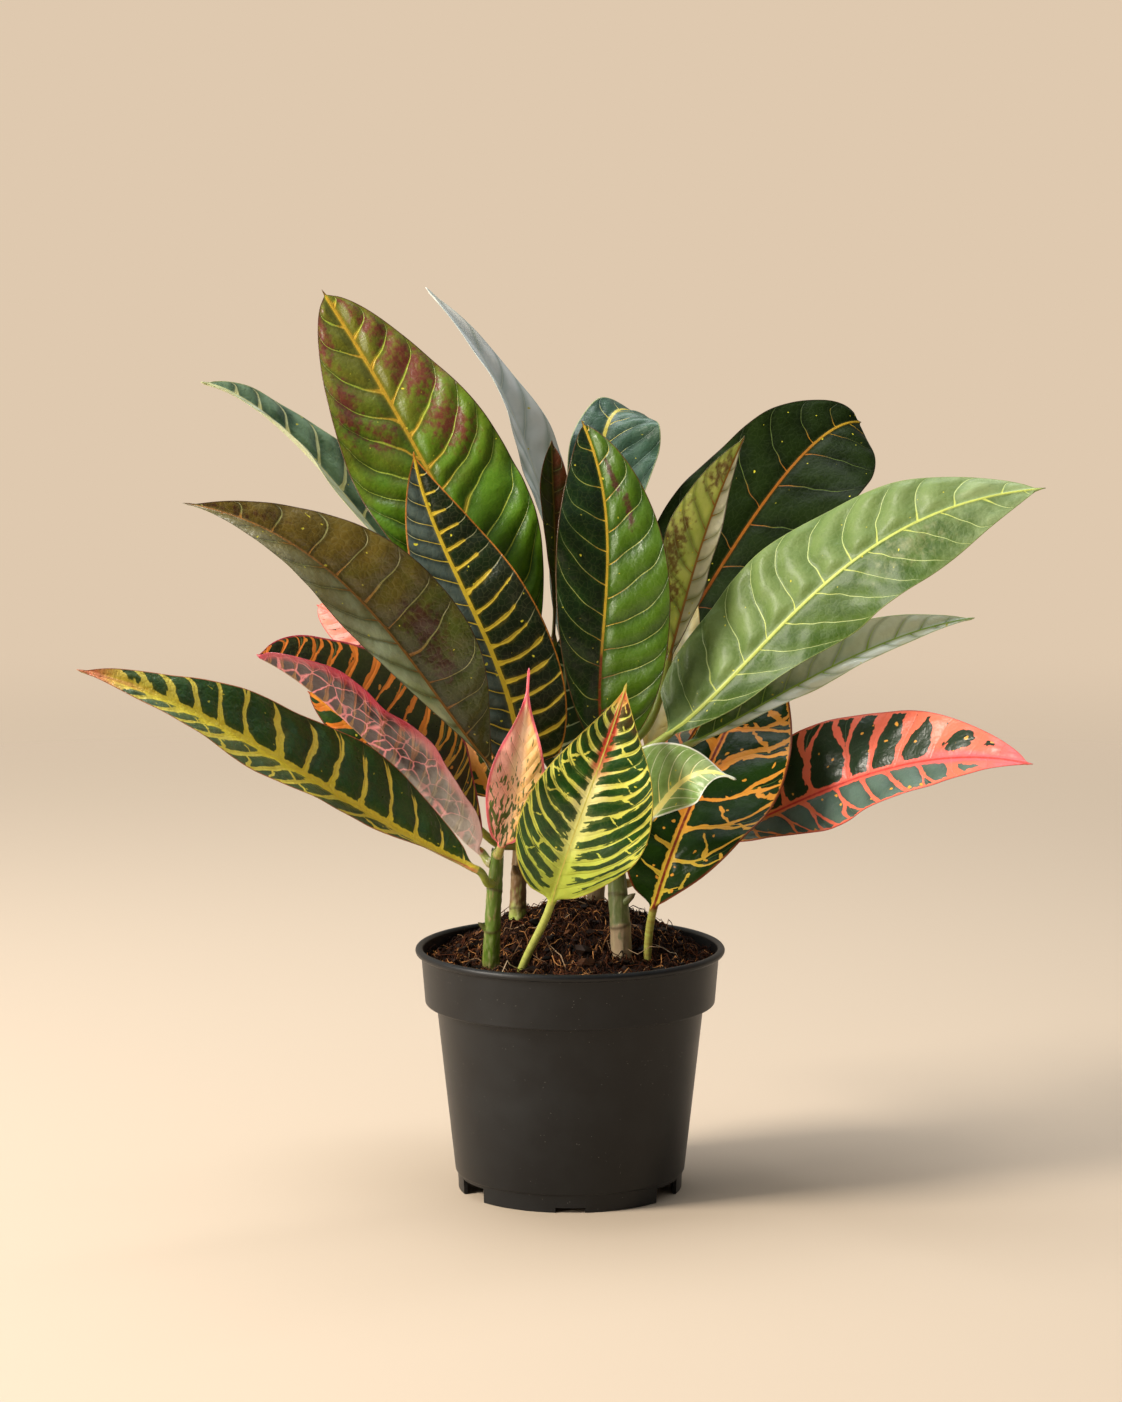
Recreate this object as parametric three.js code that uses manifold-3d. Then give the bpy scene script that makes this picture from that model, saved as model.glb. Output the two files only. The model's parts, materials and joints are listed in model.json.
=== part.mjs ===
// Potted croton: a round plastic nursery pot filled with soil, four woody stems standing in it,
// and the large leathery leaves that the stems and the soil carry.
// Millimetres, +Z up, the front towards -Y. The origin is on the pot's axis where it stands.
import * as THREE from 'three';
import { mergeVertices } from 'three/addons/utils/BufferGeometryUtils.js';
import Module from 'manifold-3d';

const wasm = await Module();
wasm.setup();

// ---- Driving dimensions -------------------------------------------------------------------

const touchGap = 0.3; // clearance where one piece stands in or against another

const pot = {
  height: 135, // foot to the top of the rim bead
  rimRadius: 85,
  beadRadius: 2.1,
  neckRadius: 81.8, // the collar's outside where the bead sits on it
  neckHeight: 130,
  collarRadius: 79.6, // at the collar's lower edge
  collarBottom: 103.5,
  bodyTopRadius: 73.5,
  bodyBottomRadius: 63.3,
  footRadius: 61.6,
  footHeight: 9.5, // the foot ring below the floor
  wall: 1.5,
  edge: 0.8, // size of the small bevels
  ledgeRise: 1.5, // how much the ledge inside the collar climbs on its way out
  sides: 52,
  notchWidth: 22, // deep notches through the foot ring, beside the drain holes
  notchHeight: 8,
  notchAngles: [60, 120, 240, 300], // degrees from the front
  slotWidth: 16, // shallow slots at the front and back of the foot ring
  slotHeight: 2.8,
  slotAngles: [0, 180],
  drainRadius: 49, // pot axis to the middle of a drain hole
  drainLength: 12,
  drainWidth: 9,
  ribRadius: 38, // a stiffening rib under the floor, inside each drain hole
  ribLength: 9,
  ribHeight: 6.5,
};

const soil = {
  edgeHeight: 126, // where the soil meets the pot's wall
  moundHeight: 24, // the mound above that level
  moundCentre: [5, 33],
  moundRadius: 72,
  lump: 1, // height of the lumps on its surface, and the lengths that they repeat in
  lumpLengths: [6.1, 7.3, 4.3, 5.1],
  sides: 40,
  ringShares: [1, 0.93, 0.8, 0.65, 0.5, 0.34, 0.17, 0.02],
};

const stemForm = {
  sides: 8,
  steps: 16,
  depth: 42, // how far a stem reaches down into the soil
  footShare: 0.8, // radius of its lower end, as a share of that at the soil's surface
  endShare: 0.6, // radius of its blunt top, as a share of that just below
};

// A side bud: how steeply it rises, and its radius at its base and its end, as shares.
const spurForm = { sides: 7, steps: 3, rise: 0.8, baseShare: 1.15, endShare: 0.35 };

// Each stem: where it runs, from the soil's surface to its top, and its radius along that way.
// A spur is a short side bud: the height it grows at, its compass angle from the front
// (degrees, towards +X), its length and its radius.
const stems = {
  left: {
    path: [[-43, -26, 127], [-42, -30, 150], [-41, -33, 172], [-39, -34, 196]],
    radii: [4.9, 4.3, 4.2, 3.2],
    spurs: [[147, -75, 6, 1.9], [188, 200, 5, 1.6]],
  },
  middle: {
    path: [[-29, 22, 142], [-28, 20, 180], [-24, 16, 222], [-20, 14, 272]],
    radii: [4.8, 4.2, 3.9, 2.6],
    spurs: [[170, -20, 7, 2.2], [205, 150, 5, 1.8]],
  },
  right: {
    path: [[28, -21, 133], [26, -18, 165], [23, -8, 205], [22, 6, 262]],
    radii: [5.9, 5.2, 4.6, 2.8],
    spurs: [[160, 60, 8, 2.4], [184, -60, 5, 1.9]],
  },
  back: {
    path: [[14, 44, 148], [18, 44, 190], [24, 42, 232], [26, 40, 284]],
    radii: [4.9, 4.3, 3.9, 2.6],
    spurs: [[172, 170, 6, 2.0]],
  },
};

// The leaf blade: the same thickness rules for every leaf.
const blade = {
  thickness: 1.1,
  marginThickness: 0.8,
  keelAtBase: 2.3, // depth of the midrib below the blade
  keelAtTip: 1.0,
  tipHalfWidth: 0.7,
  wavesApart: 2, // radians by which the waves of the two margins differ
};
// The rings of a blade stand at these shares of its length and have points at these shares
// of its two halves, the left half's being negative.
const bladeStations = [0.05, 0.13, 0.22, 0.31, 0.4, 0.49, 0.58, 0.67, 0.76, 0.85, 0.93, 1];
const acrossBlade = [-1, -0.5, 0, 0.5, 1];

// The leaf stalk. setOut and runIn are the lengths, as shares of its span, over which it
// leaves its stem squarely and runs into the blade's midrib.
const stalk = { radius: 2.2, steps: 4, soilSteps: 6, depth: 24, setOut: 0.4, runIn: 0.35 };

// Leaf finishes are named by the colour that a leaf shows most.
const finishes = {
  pot: { colour: 0x2a2b2c, roughness: 0.6 },
  soil: { colour: 0x2d211a, roughness: 0.95 },
  stem: { colour: 0x7a7448, roughness: 0.7 },
  green: { colour: 0x3f5a2c, roughness: 0.4 },
  dark: { colour: 0x1f2f22, roughness: 0.4 },
  bluegreen: { colour: 0x3d5a52, roughness: 0.4 },
  olive: { colour: 0x5b5a2e, roughness: 0.4 },
  silver: { colour: 0x7f9488, roughness: 0.35 },
  coral: { colour: 0xc9584a, roughness: 0.4 },
  pink: { colour: 0xd98a76, roughness: 0.4 },
  cream: { colour: 0xe3cf94, roughness: 0.4 },
  orange: { colour: 0x9a5a2a, roughness: 0.4 },
};

// Each leaf: the stem it grows from and how high, or the soil where its stalk stands;
// spine, four points of the midrib from the blade's base to its tip, a third of the way apart;
// face, the way its upper side looks (a second vector: the way it looks at the tip);
// width of the left and the right half; peak, where along the blade each half is widest; full,
// how full the outline is at its base and its tip (below 1 is blunt, above 1 drawn out);
// fold, the degrees that each half stands up by; wave and waves, the height and number of the
// margin's waves, and phase, where they start.
const leaves = {
  upper_left: {
    finish: 'green', stem: 'middle', height: 262, width: [42, 45], peak: [0.55, 0.47],
    full: [0.75, 0.62], fold: [10, 6], wave: 3, waves: 3, phase: 0,
    spine: [[-24, 14, 290], [-57, 18, 355], [-92, 34, 419], [-137, 56, 492]],
    face: [[0.2, -1, 0.25]],
  },
  arched_left: {
    finish: 'bluegreen', stem: 'middle', height: 250, width: [22, 26], peak: [0.45, 0.45],
    full: [0.9, 0.9], fold: [22, 22], wave: 2, waves: 3, phase: 1,
    spine: [[-36, 32, 273], [-90, 48, 335], [-147, 52, 404], [-203, 40, 442]],
    face: [[0.5, -0.3, 0.75]],
  },
  dark_left: {
    finish: 'dark', stem: 'middle', height: 223, width: [26, 33], peak: [0.45, 0.36],
    full: [0.4, 0.9], fold: [6, 8], wave: 2.5, waves: 3, phase: 2,
    spine: [[-28, -6, 233], [-40, -10, 292], [-66, -2, 349], [-85, 6, 406]],
    face: [[0.1, -1, 0.1]],
  },
  olive_left: {
    finish: 'olive', stem: 'middle', height: 206, width: [27, 38], peak: [0.6, 0.45],
    full: [1.3, 1.05], fold: [42, 8], wave: 2.5, waves: 3, phase: 0.5,
    spine: [[-41, -25, 236], [-80, -44, 291], [-130, -56, 349], [-204, -66, 384]],
    face: [[-0.1, -0.85, 0.5]],
  },
  silver_top: {
    finish: 'silver', stem: 'back', height: 268, width: [20, 20], peak: [0.45, 0.45],
    full: [0.6, 1], fold: [25, 25], wave: 2.5, waves: 3, phase: 0,
    spine: [[2, 36, 262], [-7, 50, 336], [-29, 60, 417], [-80, 66, 493]],
    face: [[0.8, -0.6, 0.3]],
  },
  small_top: {
    finish: 'dark', stem: 'middle', height: 266, width: [9, 9], peak: [0.72, 0.72],
    full: [0.8, 0.8], fold: [15, 15], wave: 1, waves: 2, phase: 0,
    spine: [[-9, 16, 300], [-8, 17, 340], [-9, 18, 376], [-10, 22, 411]],
    face: [[0.4, -1, 0.1]],
  },
  arched_back: {
    finish: 'silver', stem: 'back', height: 276, width: [18, 33], peak: [0.42, 0.5],
    full: [0.8, 0.8], fold: [8, 8], wave: 2.5, waves: 3, phase: 0,
    spine: [[15, 58, 328], [16, 80, 386], [24, 100, 420], [45, 126, 413]],
    face: [[-0.1, -1, 0.35], [0.1, -0.3, 1]],
  },
  centre: {
    finish: 'green', stem: 'right', height: 230, width: [29, 36], peak: [0.6, 0.42],
    full: [0.5, 0.72], fold: [16, 8], wave: 2.5, waves: 3, phase: 1,
    spine: [[19, -8, 243], [17, -12, 299], [20, -6, 360], [6, 12, 423]],
    face: [[0, -1, 0.1]],
  },
  folded_right: {
    finish: 'olive', stem: 'right', height: 246, width: [29, 9], peak: [0.55, 0.45],
    full: [0.9, 0.9], fold: [30, 30], wave: 2, waves: 3, phase: 0,
    spine: [[54, 16, 291], [65, 14, 332], [77, 12, 371], [95, 14, 414]],
    face: [[0.3, -1, 0.2]],
  },
  broad_back_right: {
    finish: 'dark', stem: 'back', height: 256, width: [45, 46], peak: [0.38, 0.62],
    full: [0.6, 0.5], fold: [6, 6], wave: 3, waves: 3, phase: 0,
    spine: [[50, 44, 284], [85, 62, 339], [127, 90, 394], [166, 118, 415]],
    face: [[-0.2, -0.85, 0.5]],
  },
  long_right: {
    finish: 'silver', stem: 'right', height: 240, width: [43, 34], peak: [0.38, 0.64],
    full: [0.5, 0.8], fold: [-4, -6], wave: 3, waves: 3, phase: 0,
    spine: [[53, -10, 253], [107, -18, 307], [166, -34, 361], [251, -54, 391]],
    face: [[-0.25, -0.8, 0.55]],
  },
  narrow_right: {
    finish: 'silver', stem: 'right', height: 233, width: [20, 8], peak: [0.45, 0.5],
    full: [0.9, 0.9], fold: [10, 10], wave: 1.5, waves: 3, phase: 0,
    spine: [[66, 0, 247], [112, -2, 273], [164, -4, 300], [220, 0, 316]],
    face: [[-0.2, -0.8, 0.5]],
  },
  low_left: {
    finish: 'green', stem: 'left', height: 176, width: [22, 35], peak: [0.6, 0.38],
    full: [1.3, 0.95], fold: [24, 6], wave: 2.5, waves: 3, phase: 0,
    spine: [[-50, -46, 185], [-117, -70, 226], [-186, -105, 273], [-252, -140, 305]],
    face: [[0, -0.72, 0.7]],
  },
  folded_left: {
    finish: 'dark', stem: 'left', height: 186, width: [34, 42], peak: [0.45, 0.5],
    full: [0.8, 0.55], fold: [46, 68], wave: 2, waves: 3, phase: 0,
    spine: [[-48, -30, 192], [-86, -38, 232], [-126, -45, 273], [-167, -50, 302]],
    face: [[0, -0.1, 1]],
  },
  patched_left: {
    finish: 'orange', stem: 'middle', height: 188, width: [20, 24], peak: [0.5, 0.5],
    full: [0.9, 0.6], fold: [8, 8], wave: 2, waves: 3, phase: 0,
    spine: [[-52, -14, 204], [-79, -4, 226], [-109, 4, 250], [-144, 14, 274]],
    face: [[0, -0.8, 0.6]],
  },
  coral_left: {
    finish: 'coral', stem: 'middle', height: 226, width: [27, 20], peak: [0.5, 0.5],
    full: [0.9, 0.5], fold: [8, 8], wave: 2, waves: 3, phase: 0,
    spine: [[-44, 34, 242], [-74, 52, 270], [-107, 70, 296], [-143, 85, 314]],
    face: [[0, -0.7, 0.7]],
  },
  veined_left: {
    finish: 'coral', stem: 'middle', height: 200, width: [24, 24], peak: [0.5, 0.5],
    full: [0.8, 0.8], fold: [8, 8], wave: 2, waves: 3, phase: 0,
    spine: [[-42, 18, 214], [-54, 19, 238], [-66, 22, 264], [-82, 27, 292]],
    face: [[0, -1, 0.3]],
  },
  pink_front: {
    finish: 'pink', stem: 'left', height: 192, width: [16, 15], peak: [0.4, 0.4],
    full: [0.7, 2.2], fold: [12, 12], wave: 1.5, waves: 3, phase: 0,
    spine: [[-37, -46, 198], [-30, -55, 227], [-25, -59, 259], [-22, -52, 295]],
    face: [[0.1, -1, 0.2]],
  },
  front: {
    finish: 'green', soil: [-31, -38], width: [31, 38], peak: [0.34, 0.4],
    full: [1, 1.2], fold: [8, 8], wave: 2.5, waves: 3, phase: 0,
    spine: [[-10, -60, 170], [3, -74, 212], [17, -70, 250], [30, -52, 287]],
    face: [[0.1, -1, 0.25]],
  },
  curled_front: {
    finish: 'silver', stem: 'right', height: 208, width: [30, 16], peak: [0.3, 0.55],
    full: [0.8, 1.9], fold: [10, 10], wave: 1.5, waves: 2, phase: 0,
    spine: [[43, -46, 213], [54, -56, 229], [68, -62, 240], [88, -66, 237]],
    face: [[-0.3, -0.9, 0.3], [0.2, -0.8, 0.6]],
  },
  orange_right: {
    finish: 'orange', soil: [42, -20], width: [25, 46], peak: [0.3, 0.54],
    full: [1, 0.7], fold: [8, 8], wave: 2.5, waves: 3, phase: 0,
    spine: [[45, -28, 160], [60, -24, 204], [83, 18, 246], [113, 50, 298]],
    face: [[-0.25, -0.9, 0.4]],
  },
  coral_right: {
    finish: 'coral', stem: 'right', height: 172, width: [39, 27], peak: [0.5, 0.54],
    full: [1.6, 0.8], fold: [6, 10], wave: 2.5, waves: 3, phase: 0,
    spine: [[60, 16, 184], [118, 16, 209], [178, -22, 238], [243, -84, 248]],
    face: [[-0.1, -0.8, 0.6]],
  },
  cream_right: {
    finish: 'cream', stem: 'right', height: 214, width: [18, 18], peak: [0.5, 0.5],
    full: [0.9, 0.9], fold: [8, 8], wave: 1.5, waves: 3, phase: 0,
    spine: [[42, 16, 240], [50, 20, 270], [58, 24, 294], [71, 30, 324]],
    face: [[0.2, -1, 0.2]],
  },
  light_veined: {
    finish: 'dark', stem: 'middle', height: 212, width: [18, 18], peak: [0.45, 0.45],
    full: [0.9, 0.9], fold: [8, 8], wave: 1.5, waves: 2, phase: 0,
    spine: [[-8, 2, 228], [-5, 4, 256], [-3, 8, 281], [-4, 12, 308]],
    face: [[0, -1, 0.2]],
  },
  back_low_left: {
    finish: 'green', stem: 'back', height: 196, width: [36, 36], peak: [0.45, 0.45],
    full: [0.9, 0.8], fold: [8, 8], wave: 3, waves: 3, phase: 0,
    spine: [[0, 66, 202], [-34, 92, 216], [-80, 115, 226], [-126, 128, 222]],
    face: [[-0.3, 0.4, 1]],
  },
  back_low_right: {
    finish: 'orange', stem: 'back', height: 204, width: [34, 34], peak: [0.45, 0.45],
    full: [0.9, 0.8], fold: [8, 8], wave: 3, waves: 3, phase: 1,
    spine: [[44, 62, 212], [70, 88, 230], [98, 112, 242], [126, 130, 240]],
    face: [[0.3, 0.4, 1]],
  },
  back_middle: {
    finish: 'coral', stem: 'back', height: 220, width: [29, 31], peak: [0.45, 0.45],
    full: [0.9, 0.8], fold: [8, 8], wave: 3, waves: 3, phase: 2,
    spine: [[28, 66, 234], [26, 92, 260], [18, 118, 281], [8, 138, 288]],
    face: [[0, 0.5, 1]],
  },
  back_left: {
    finish: 'dark', stem: 'back', height: 240, width: [37, 37], peak: [0.45, 0.45],
    full: [0.9, 0.8], fold: [8, 8], wave: 3, waves: 3, phase: 0,
    spine: [[-8, 54, 264], [-36, 80, 304], [-74, 104, 340], [-118, 122, 360]],
    face: [[-0.3, 0.4, 1]],
  },
  back_right: {
    finish: 'green', stem: 'back', height: 244, width: [34, 34], peak: [0.45, 0.45],
    full: [0.9, 0.8], fold: [8, 8], wave: 3, waves: 3, phase: 1,
    spine: [[50, 60, 262], [72, 86, 296], [98, 112, 322], [124, 134, 330]],
    face: [[0.2, 0.5, 1]],
  },
  back_high: {
    finish: 'olive', stem: 'back', height: 262, width: [30, 30], peak: [0.45, 0.45],
    full: [0.9, 0.8], fold: [8, 8], wave: 3, waves: 3, phase: 2,
    spine: [[28, 60, 282], [32, 86, 318], [36, 112, 346], [36, 134, 356]],
    face: [[0, 0.5, 1]],
  },
  back_side_left: {
    finish: 'orange', stem: 'middle', height: 214, width: [28, 28], peak: [0.45, 0.45],
    full: [0.9, 0.8], fold: [8, 8], wave: 3, waves: 3, phase: 1,
    spine: [[-46, 46, 227], [-80, 74, 251], [-112, 100, 270], [-146, 120, 280]],
    face: [[-0.3, 0.3, 1]],
  },
  back_side_right: {
    finish: 'bluegreen', stem: 'back', height: 230, width: [28, 28], peak: [0.45, 0.45],
    full: [0.9, 0.8], fold: [8, 8], wave: 3, waves: 3, phase: 0,
    spine: [[58, 48, 254], [90, 68, 286], [120, 86, 314], [152, 104, 334]],
    face: [[0.2, 0.3, 1]],
  },
};

// ---- Shared shapes ------------------------------------------------------------------------

const vector = ([x, y, z]) => new THREE.Vector3(x, y, z);
const radians = THREE.MathUtils.degToRad;
const lerp = THREE.MathUtils.lerp;

// A closed solid through a row of rings that all have the same number of points.
// turnDiagonal(j) says which way the quads at place j of the rings are split.
function loft(rings, turnDiagonal = () => false) {
  const count = rings[0].length;
  const positions = rings.flat().flatMap((p) => [p.x, p.y, p.z]);
  const faces = [];
  for (let i = 0; i < rings.length - 1; i += 1) {
    for (let j = 0; j < count; j += 1) {
      const a = i * count + j;
      const b = i * count + ((j + 1) % count);
      const c = a + count;
      const d = b + count;
      const split = turnDiagonal(j) ? [a, b, c, b, d, c] : [a, b, d, a, d, c];
      faces.push(...split);
    }
  }
  const last = (rings.length - 1) * count;
  for (let j = 1; j < count - 1; j += 1) {
    faces.push(0, j + 1, j);
    faces.push(last, last + j, last + j + 1);
  }
  const geometry = new THREE.BufferGeometry();
  geometry.setAttribute('position', new THREE.Float32BufferAttribute(positions, 3));
  geometry.setIndex(faces);
  return facingOut(geometry);
}

// The geometry with its faces turned outwards, judged by the sign of its volume.
function facingOut(geometry) {
  const at = geometry.getAttribute('position');
  const index = geometry.getIndex().array;
  const corner = (i) => new THREE.Vector3().fromBufferAttribute(at, index[i]);
  let volume = 0;
  for (let i = 0; i < index.length; i += 3) {
    volume += corner(i).dot(corner(i + 1).cross(corner(i + 2)));
  }
  for (let i = 0; volume < 0 && i < index.length; i += 3) {
    [index[i], index[i + 1]] = [index[i + 1], index[i]];
  }
  return geometry;
}

// Only positions stay, and vertices at the same place become one.
function merged(geometry) {
  const bare = new THREE.BufferGeometry();
  bare.setAttribute('position', geometry.getAttribute('position'));
  bare.setIndex(geometry.getIndex());
  return mergeVertices(bare, 1e-4);
}

function toSolid(geometry) {
  const closed = merged(geometry);
  return new wasm.Manifold(
    new wasm.Mesh({
      numProp: 3,
      vertProperties: new Float32Array(closed.getAttribute('position').array),
      triVerts: new Uint32Array(closed.getIndex().array),
    }),
  );
}

function toGeometry(solid) {
  const mesh = solid.getMesh();
  const geometry = new THREE.BufferGeometry();
  geometry.setAttribute('position', new THREE.BufferAttribute(mesh.vertProperties, 3));
  geometry.setIndex(new THREE.BufferAttribute(mesh.triVerts, 1));
  return geometry;
}

// The part of a direction that is square to a path's tangent, at unit length.
function squareTo(tangent, direction) {
  return direction.clone().addScaledVector(tangent, -direction.dot(tangent)).normalize();
}

// A ring of points round a place on a path; its first point is left of the direction up.
function ring(centre, tangent, hint, radius, sides) {
  const up = squareTo(tangent, hint);
  const across = tangent.clone().cross(up);
  return Array.from({ length: sides }, (_, j) => {
    const angle = Math.PI - ((j + 0.5) * 2 * Math.PI) / sides;
    return centre
      .clone()
      .addScaledVector(across, radius * Math.cos(angle))
      .addScaledVector(up, radius * Math.sin(angle));
  });
}

// A round bar along a curve; radiusAt(u) gives its radius, u running from 0 to 1.
function bar(curve, radiusAt, steps, sides) {
  const front = new THREE.Vector3(0, -1, 0);
  const shares = Array.from({ length: steps + 1 }, (_, i) => i / steps);
  return loft(shares.map((u) => ring(curve.getPoint(u), curve.getTangent(u), front, radiusAt(u), sides)));
}

// ---- Pot ----------------------------------------------------------------------------------

// The rim's bead as points round its centre, from the collar's outside over the top to its inside.
function beadPoints() {
  const centre = [pot.rimRadius - pot.beadRadius, pot.height - pot.beadRadius];
  return [-70, -20, 30, 80, 130, 175].map((degrees) => [
    centre[0] + pot.beadRadius * Math.cos(radians(degrees)),
    centre[1] + pot.beadRadius * Math.sin(radians(degrees)),
  ]);
}

// Half of the pot's section as [radius, height], from the floor's underside out and round.
function potSection() {
  const { wall, edge, footHeight, footRadius, bodyBottomRadius, bodyTopRadius } = pot;
  const { collarRadius, collarBottom, neckRadius, neckHeight } = pot;
  const footInside = footRadius - wall - edge / 2;
  return [
    [0, footHeight - wall],
    [footInside, footHeight - wall],
    [footInside, 0],
    [footRadius - edge, 0],
    [footRadius, edge],
    [footRadius + edge / 2, footHeight],
    [bodyBottomRadius, footHeight + edge],
    [bodyTopRadius, collarBottom],
    [collarRadius - edge, collarBottom + edge / 2],
    [collarRadius, collarBottom + edge * 2],
    [neckRadius, neckHeight],
    ...beadPoints(),
    [neckRadius - wall, neckHeight],
    [collarRadius - wall, collarBottom + wall + pot.ledgeRise],
    [bodyTopRadius - wall, collarBottom + wall],
    [bodyBottomRadius - wall, footHeight + edge * 2],
    [bodyBottomRadius - wall - edge, footHeight],
    [0, footHeight],
  ];
}

// A box of [width, length along the radius, height] on a circle round the pot's axis;
// angle is in degrees from the front, towards +X.
function boxOnCircle(size, radius, angle, middleHeight) {
  const box = new THREE.BoxGeometry(...size);
  box.translate(0, -radius, middleHeight);
  box.rotateZ(radians(angle));
  return toSolid(box);
}

function makePot() {
  const points = potSection().map(([r, z]) => new THREE.Vector2(r, z));
  const lathe = new THREE.LatheGeometry(points, pot.sides).rotateX(Math.PI / 2);
  let solid = toSolid(facingOut(merged(lathe)));
  const ringMiddle = pot.footRadius - pot.wall / 2;
  const through = 8; // more than the thickness that a box cuts through
  const slot = [pot.slotWidth, through, pot.slotHeight * 2];
  for (const angle of pot.slotAngles) {
    solid = solid.subtract(boxOnCircle(slot, ringMiddle, angle, 0));
  }
  const notch = [pot.notchWidth, through, pot.notchHeight * 2];
  const drain = [pot.drainWidth, pot.drainLength, through];
  const rib = [pot.wall, pot.ribLength, pot.ribHeight];
  const ribMiddle = pot.footHeight - pot.wall / 2 - pot.ribHeight / 2;
  for (const angle of pot.notchAngles) {
    solid = solid
      .subtract(boxOnCircle(notch, ringMiddle, angle, 0))
      .subtract(boxOnCircle(drain, pot.drainRadius, angle, pot.footHeight))
      .add(boxOnCircle(rib, pot.ribRadius, angle, ribMiddle));
  }
  return toGeometry(solid);
}

// The inside radius of the pot at a height inside its collar.
function insideRadius(height) {
  const lowRadius = pot.collarRadius - pot.wall;
  const low = pot.collarBottom + pot.wall + pot.ledgeRise;
  const share = (height - low) / (pot.neckHeight - low);
  return lerp(lowRadius, pot.neckRadius - pot.wall, share);
}

// ---- Soil ---------------------------------------------------------------------------------

// A mound that fades out towards the pot's wall, with small lumps all over.
function soilHeight(x, y) {
  const [midX, midY] = soil.moundCentre;
  const away = Math.hypot(x - midX, y - midY) / soil.moundRadius;
  const outward = Math.hypot(x, y) / insideRadius(soil.edgeHeight);
  const mound = soil.moundHeight * Math.max(0, 1 - away ** 2) * Math.max(0, 1 - outward ** 6);
  const [a, b, c, d] = soil.lumpLengths;
  const lumps = Math.sin(x / a + 1) * Math.cos(y / b) + Math.sin((x + y) / c) * Math.sin(y / d);
  return soil.edgeHeight + mound + soil.lump * lumps;
}

function makeSoil(holes) {
  const { wall, edge, footHeight, bodyBottomRadius, bodyTopRadius, collarRadius, collarBottom } = pot;
  const side = [
    [bodyBottomRadius - wall - edge, footHeight + touchGap],
    [bodyBottomRadius - wall, footHeight + edge * 2 + touchGap],
    [bodyTopRadius - wall, collarBottom + wall + touchGap],
    [collarRadius - wall, collarBottom + wall + pot.ledgeRise + touchGap],
  ];
  // The pot's wall is a polygon too, so the soil keeps clear of the middle of its flats.
  const clear = (radius) => radius * Math.cos(Math.PI / pot.sides) - touchGap;
  const circle = (radius, heightAt) =>
    Array.from({ length: soil.sides }, (_, j) => {
      const angle = (2 * Math.PI * j) / soil.sides;
      const [x, y] = [radius * Math.cos(angle), radius * Math.sin(angle)];
      return new THREE.Vector3(x, y, heightAt(x, y));
    });
  const top = clear(insideRadius(soil.edgeHeight));
  const rings = [
    ...side.map(([radius, height]) => circle(clear(radius), () => height)),
    ...soil.ringShares.map((share) => circle(top * share, soilHeight)),
  ];
  let solid = toSolid(loft(rings));
  for (const hole of holes) {
    solid = solid.subtract(toSolid(hole));
  }
  return toGeometry(solid);
}

// ---- Stems --------------------------------------------------------------------------------

// The stem's line, from its foot in the soil to its top; deeper sinks the foot further.
function stemCurve(stem, deeper = 0) {
  const points = stem.path.map(vector);
  const foot = points[0].clone().setZ(points[0].z - stemForm.depth - deeper);
  return new THREE.CatmullRomCurve3([foot, ...points]);
}

// The radius at a share u of the stem's curve, whose first stretch is below the soil.
function stemRadius(stem, u) {
  const radii = [stem.radii[0] * stemForm.footShare, ...stem.radii];
  const place = Math.min(u, 1) * (radii.length - 1);
  const step = Math.min(Math.floor(place), radii.length - 2);
  return lerp(radii[step], radii[step + 1], place - step);
}

// The share of the curve at which the stem has come up to a height.
function stemShareAt(curve, height) {
  let [low, high] = [0, 1];
  for (let i = 0; i < 30; i += 1) {
    const middle = (low + high) / 2;
    if (curve.getPoint(middle).z < height) {
      low = middle;
    } else {
      high = middle;
    }
  }
  return low;
}

// The stem itself with no swell, and with the clearance as its swell the hole that it stands in.
function stemBar(stem, swell) {
  const blunt = (u) => (u < 1 ? 1 : stemForm.endShare);
  const radiusAt = (u) => stemRadius(stem, u) * blunt(u) + swell;
  return bar(stemCurve(stem, swell), radiusAt, stemForm.steps, stemForm.sides);
}

// A short bud that leaves the stem at a slant and narrows towards its end.
function makeSpur(stem, [height, angle, length, radius]) {
  const curve = stemCurve(stem);
  const u = stemShareAt(curve, height);
  const middle = curve.getPoint(u);
  const turn = radians(angle);
  const out = new THREE.Vector3(Math.sin(turn), -Math.cos(turn), spurForm.rise).normalize();
  const end = middle.clone().addScaledVector(out, stemRadius(stem, u) + length);
  const radiusAt = (v) => radius * lerp(spurForm.baseShare, spurForm.endShare, v * v);
  return toSolid(bar(new THREE.LineCurve3(middle, end), radiusAt, spurForm.steps, spurForm.sides));
}

function makeStem(stem) {
  let solid = toSolid(stemBar(stem, 0));
  for (const spur of stem.spurs) {
    solid = solid.add(makeSpur(stem, spur));
  }
  return toGeometry(solid);
}

// ---- Leaves -------------------------------------------------------------------------------

// The cubic through four points that stand at 0, 1/3, 2/3 and 1 of its length.
function spinePoint(spine, t) {
  const weights = [
    -4.5 * (t - 1 / 3) * (t - 2 / 3) * (t - 1),
    13.5 * t * (t - 2 / 3) * (t - 1),
    -13.5 * t * (t - 1 / 3) * (t - 1),
    4.5 * t * (t - 1 / 3) * (t - 2 / 3),
  ];
  const point = new THREE.Vector3();
  spine.forEach((p, k) => point.addScaledVector(vector(p), weights[k]));
  return point;
}

function spineTangent(spine, t) {
  const step = 0.01;
  return spinePoint(spine, t + step).sub(spinePoint(spine, t - step)).normalize();
}

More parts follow.
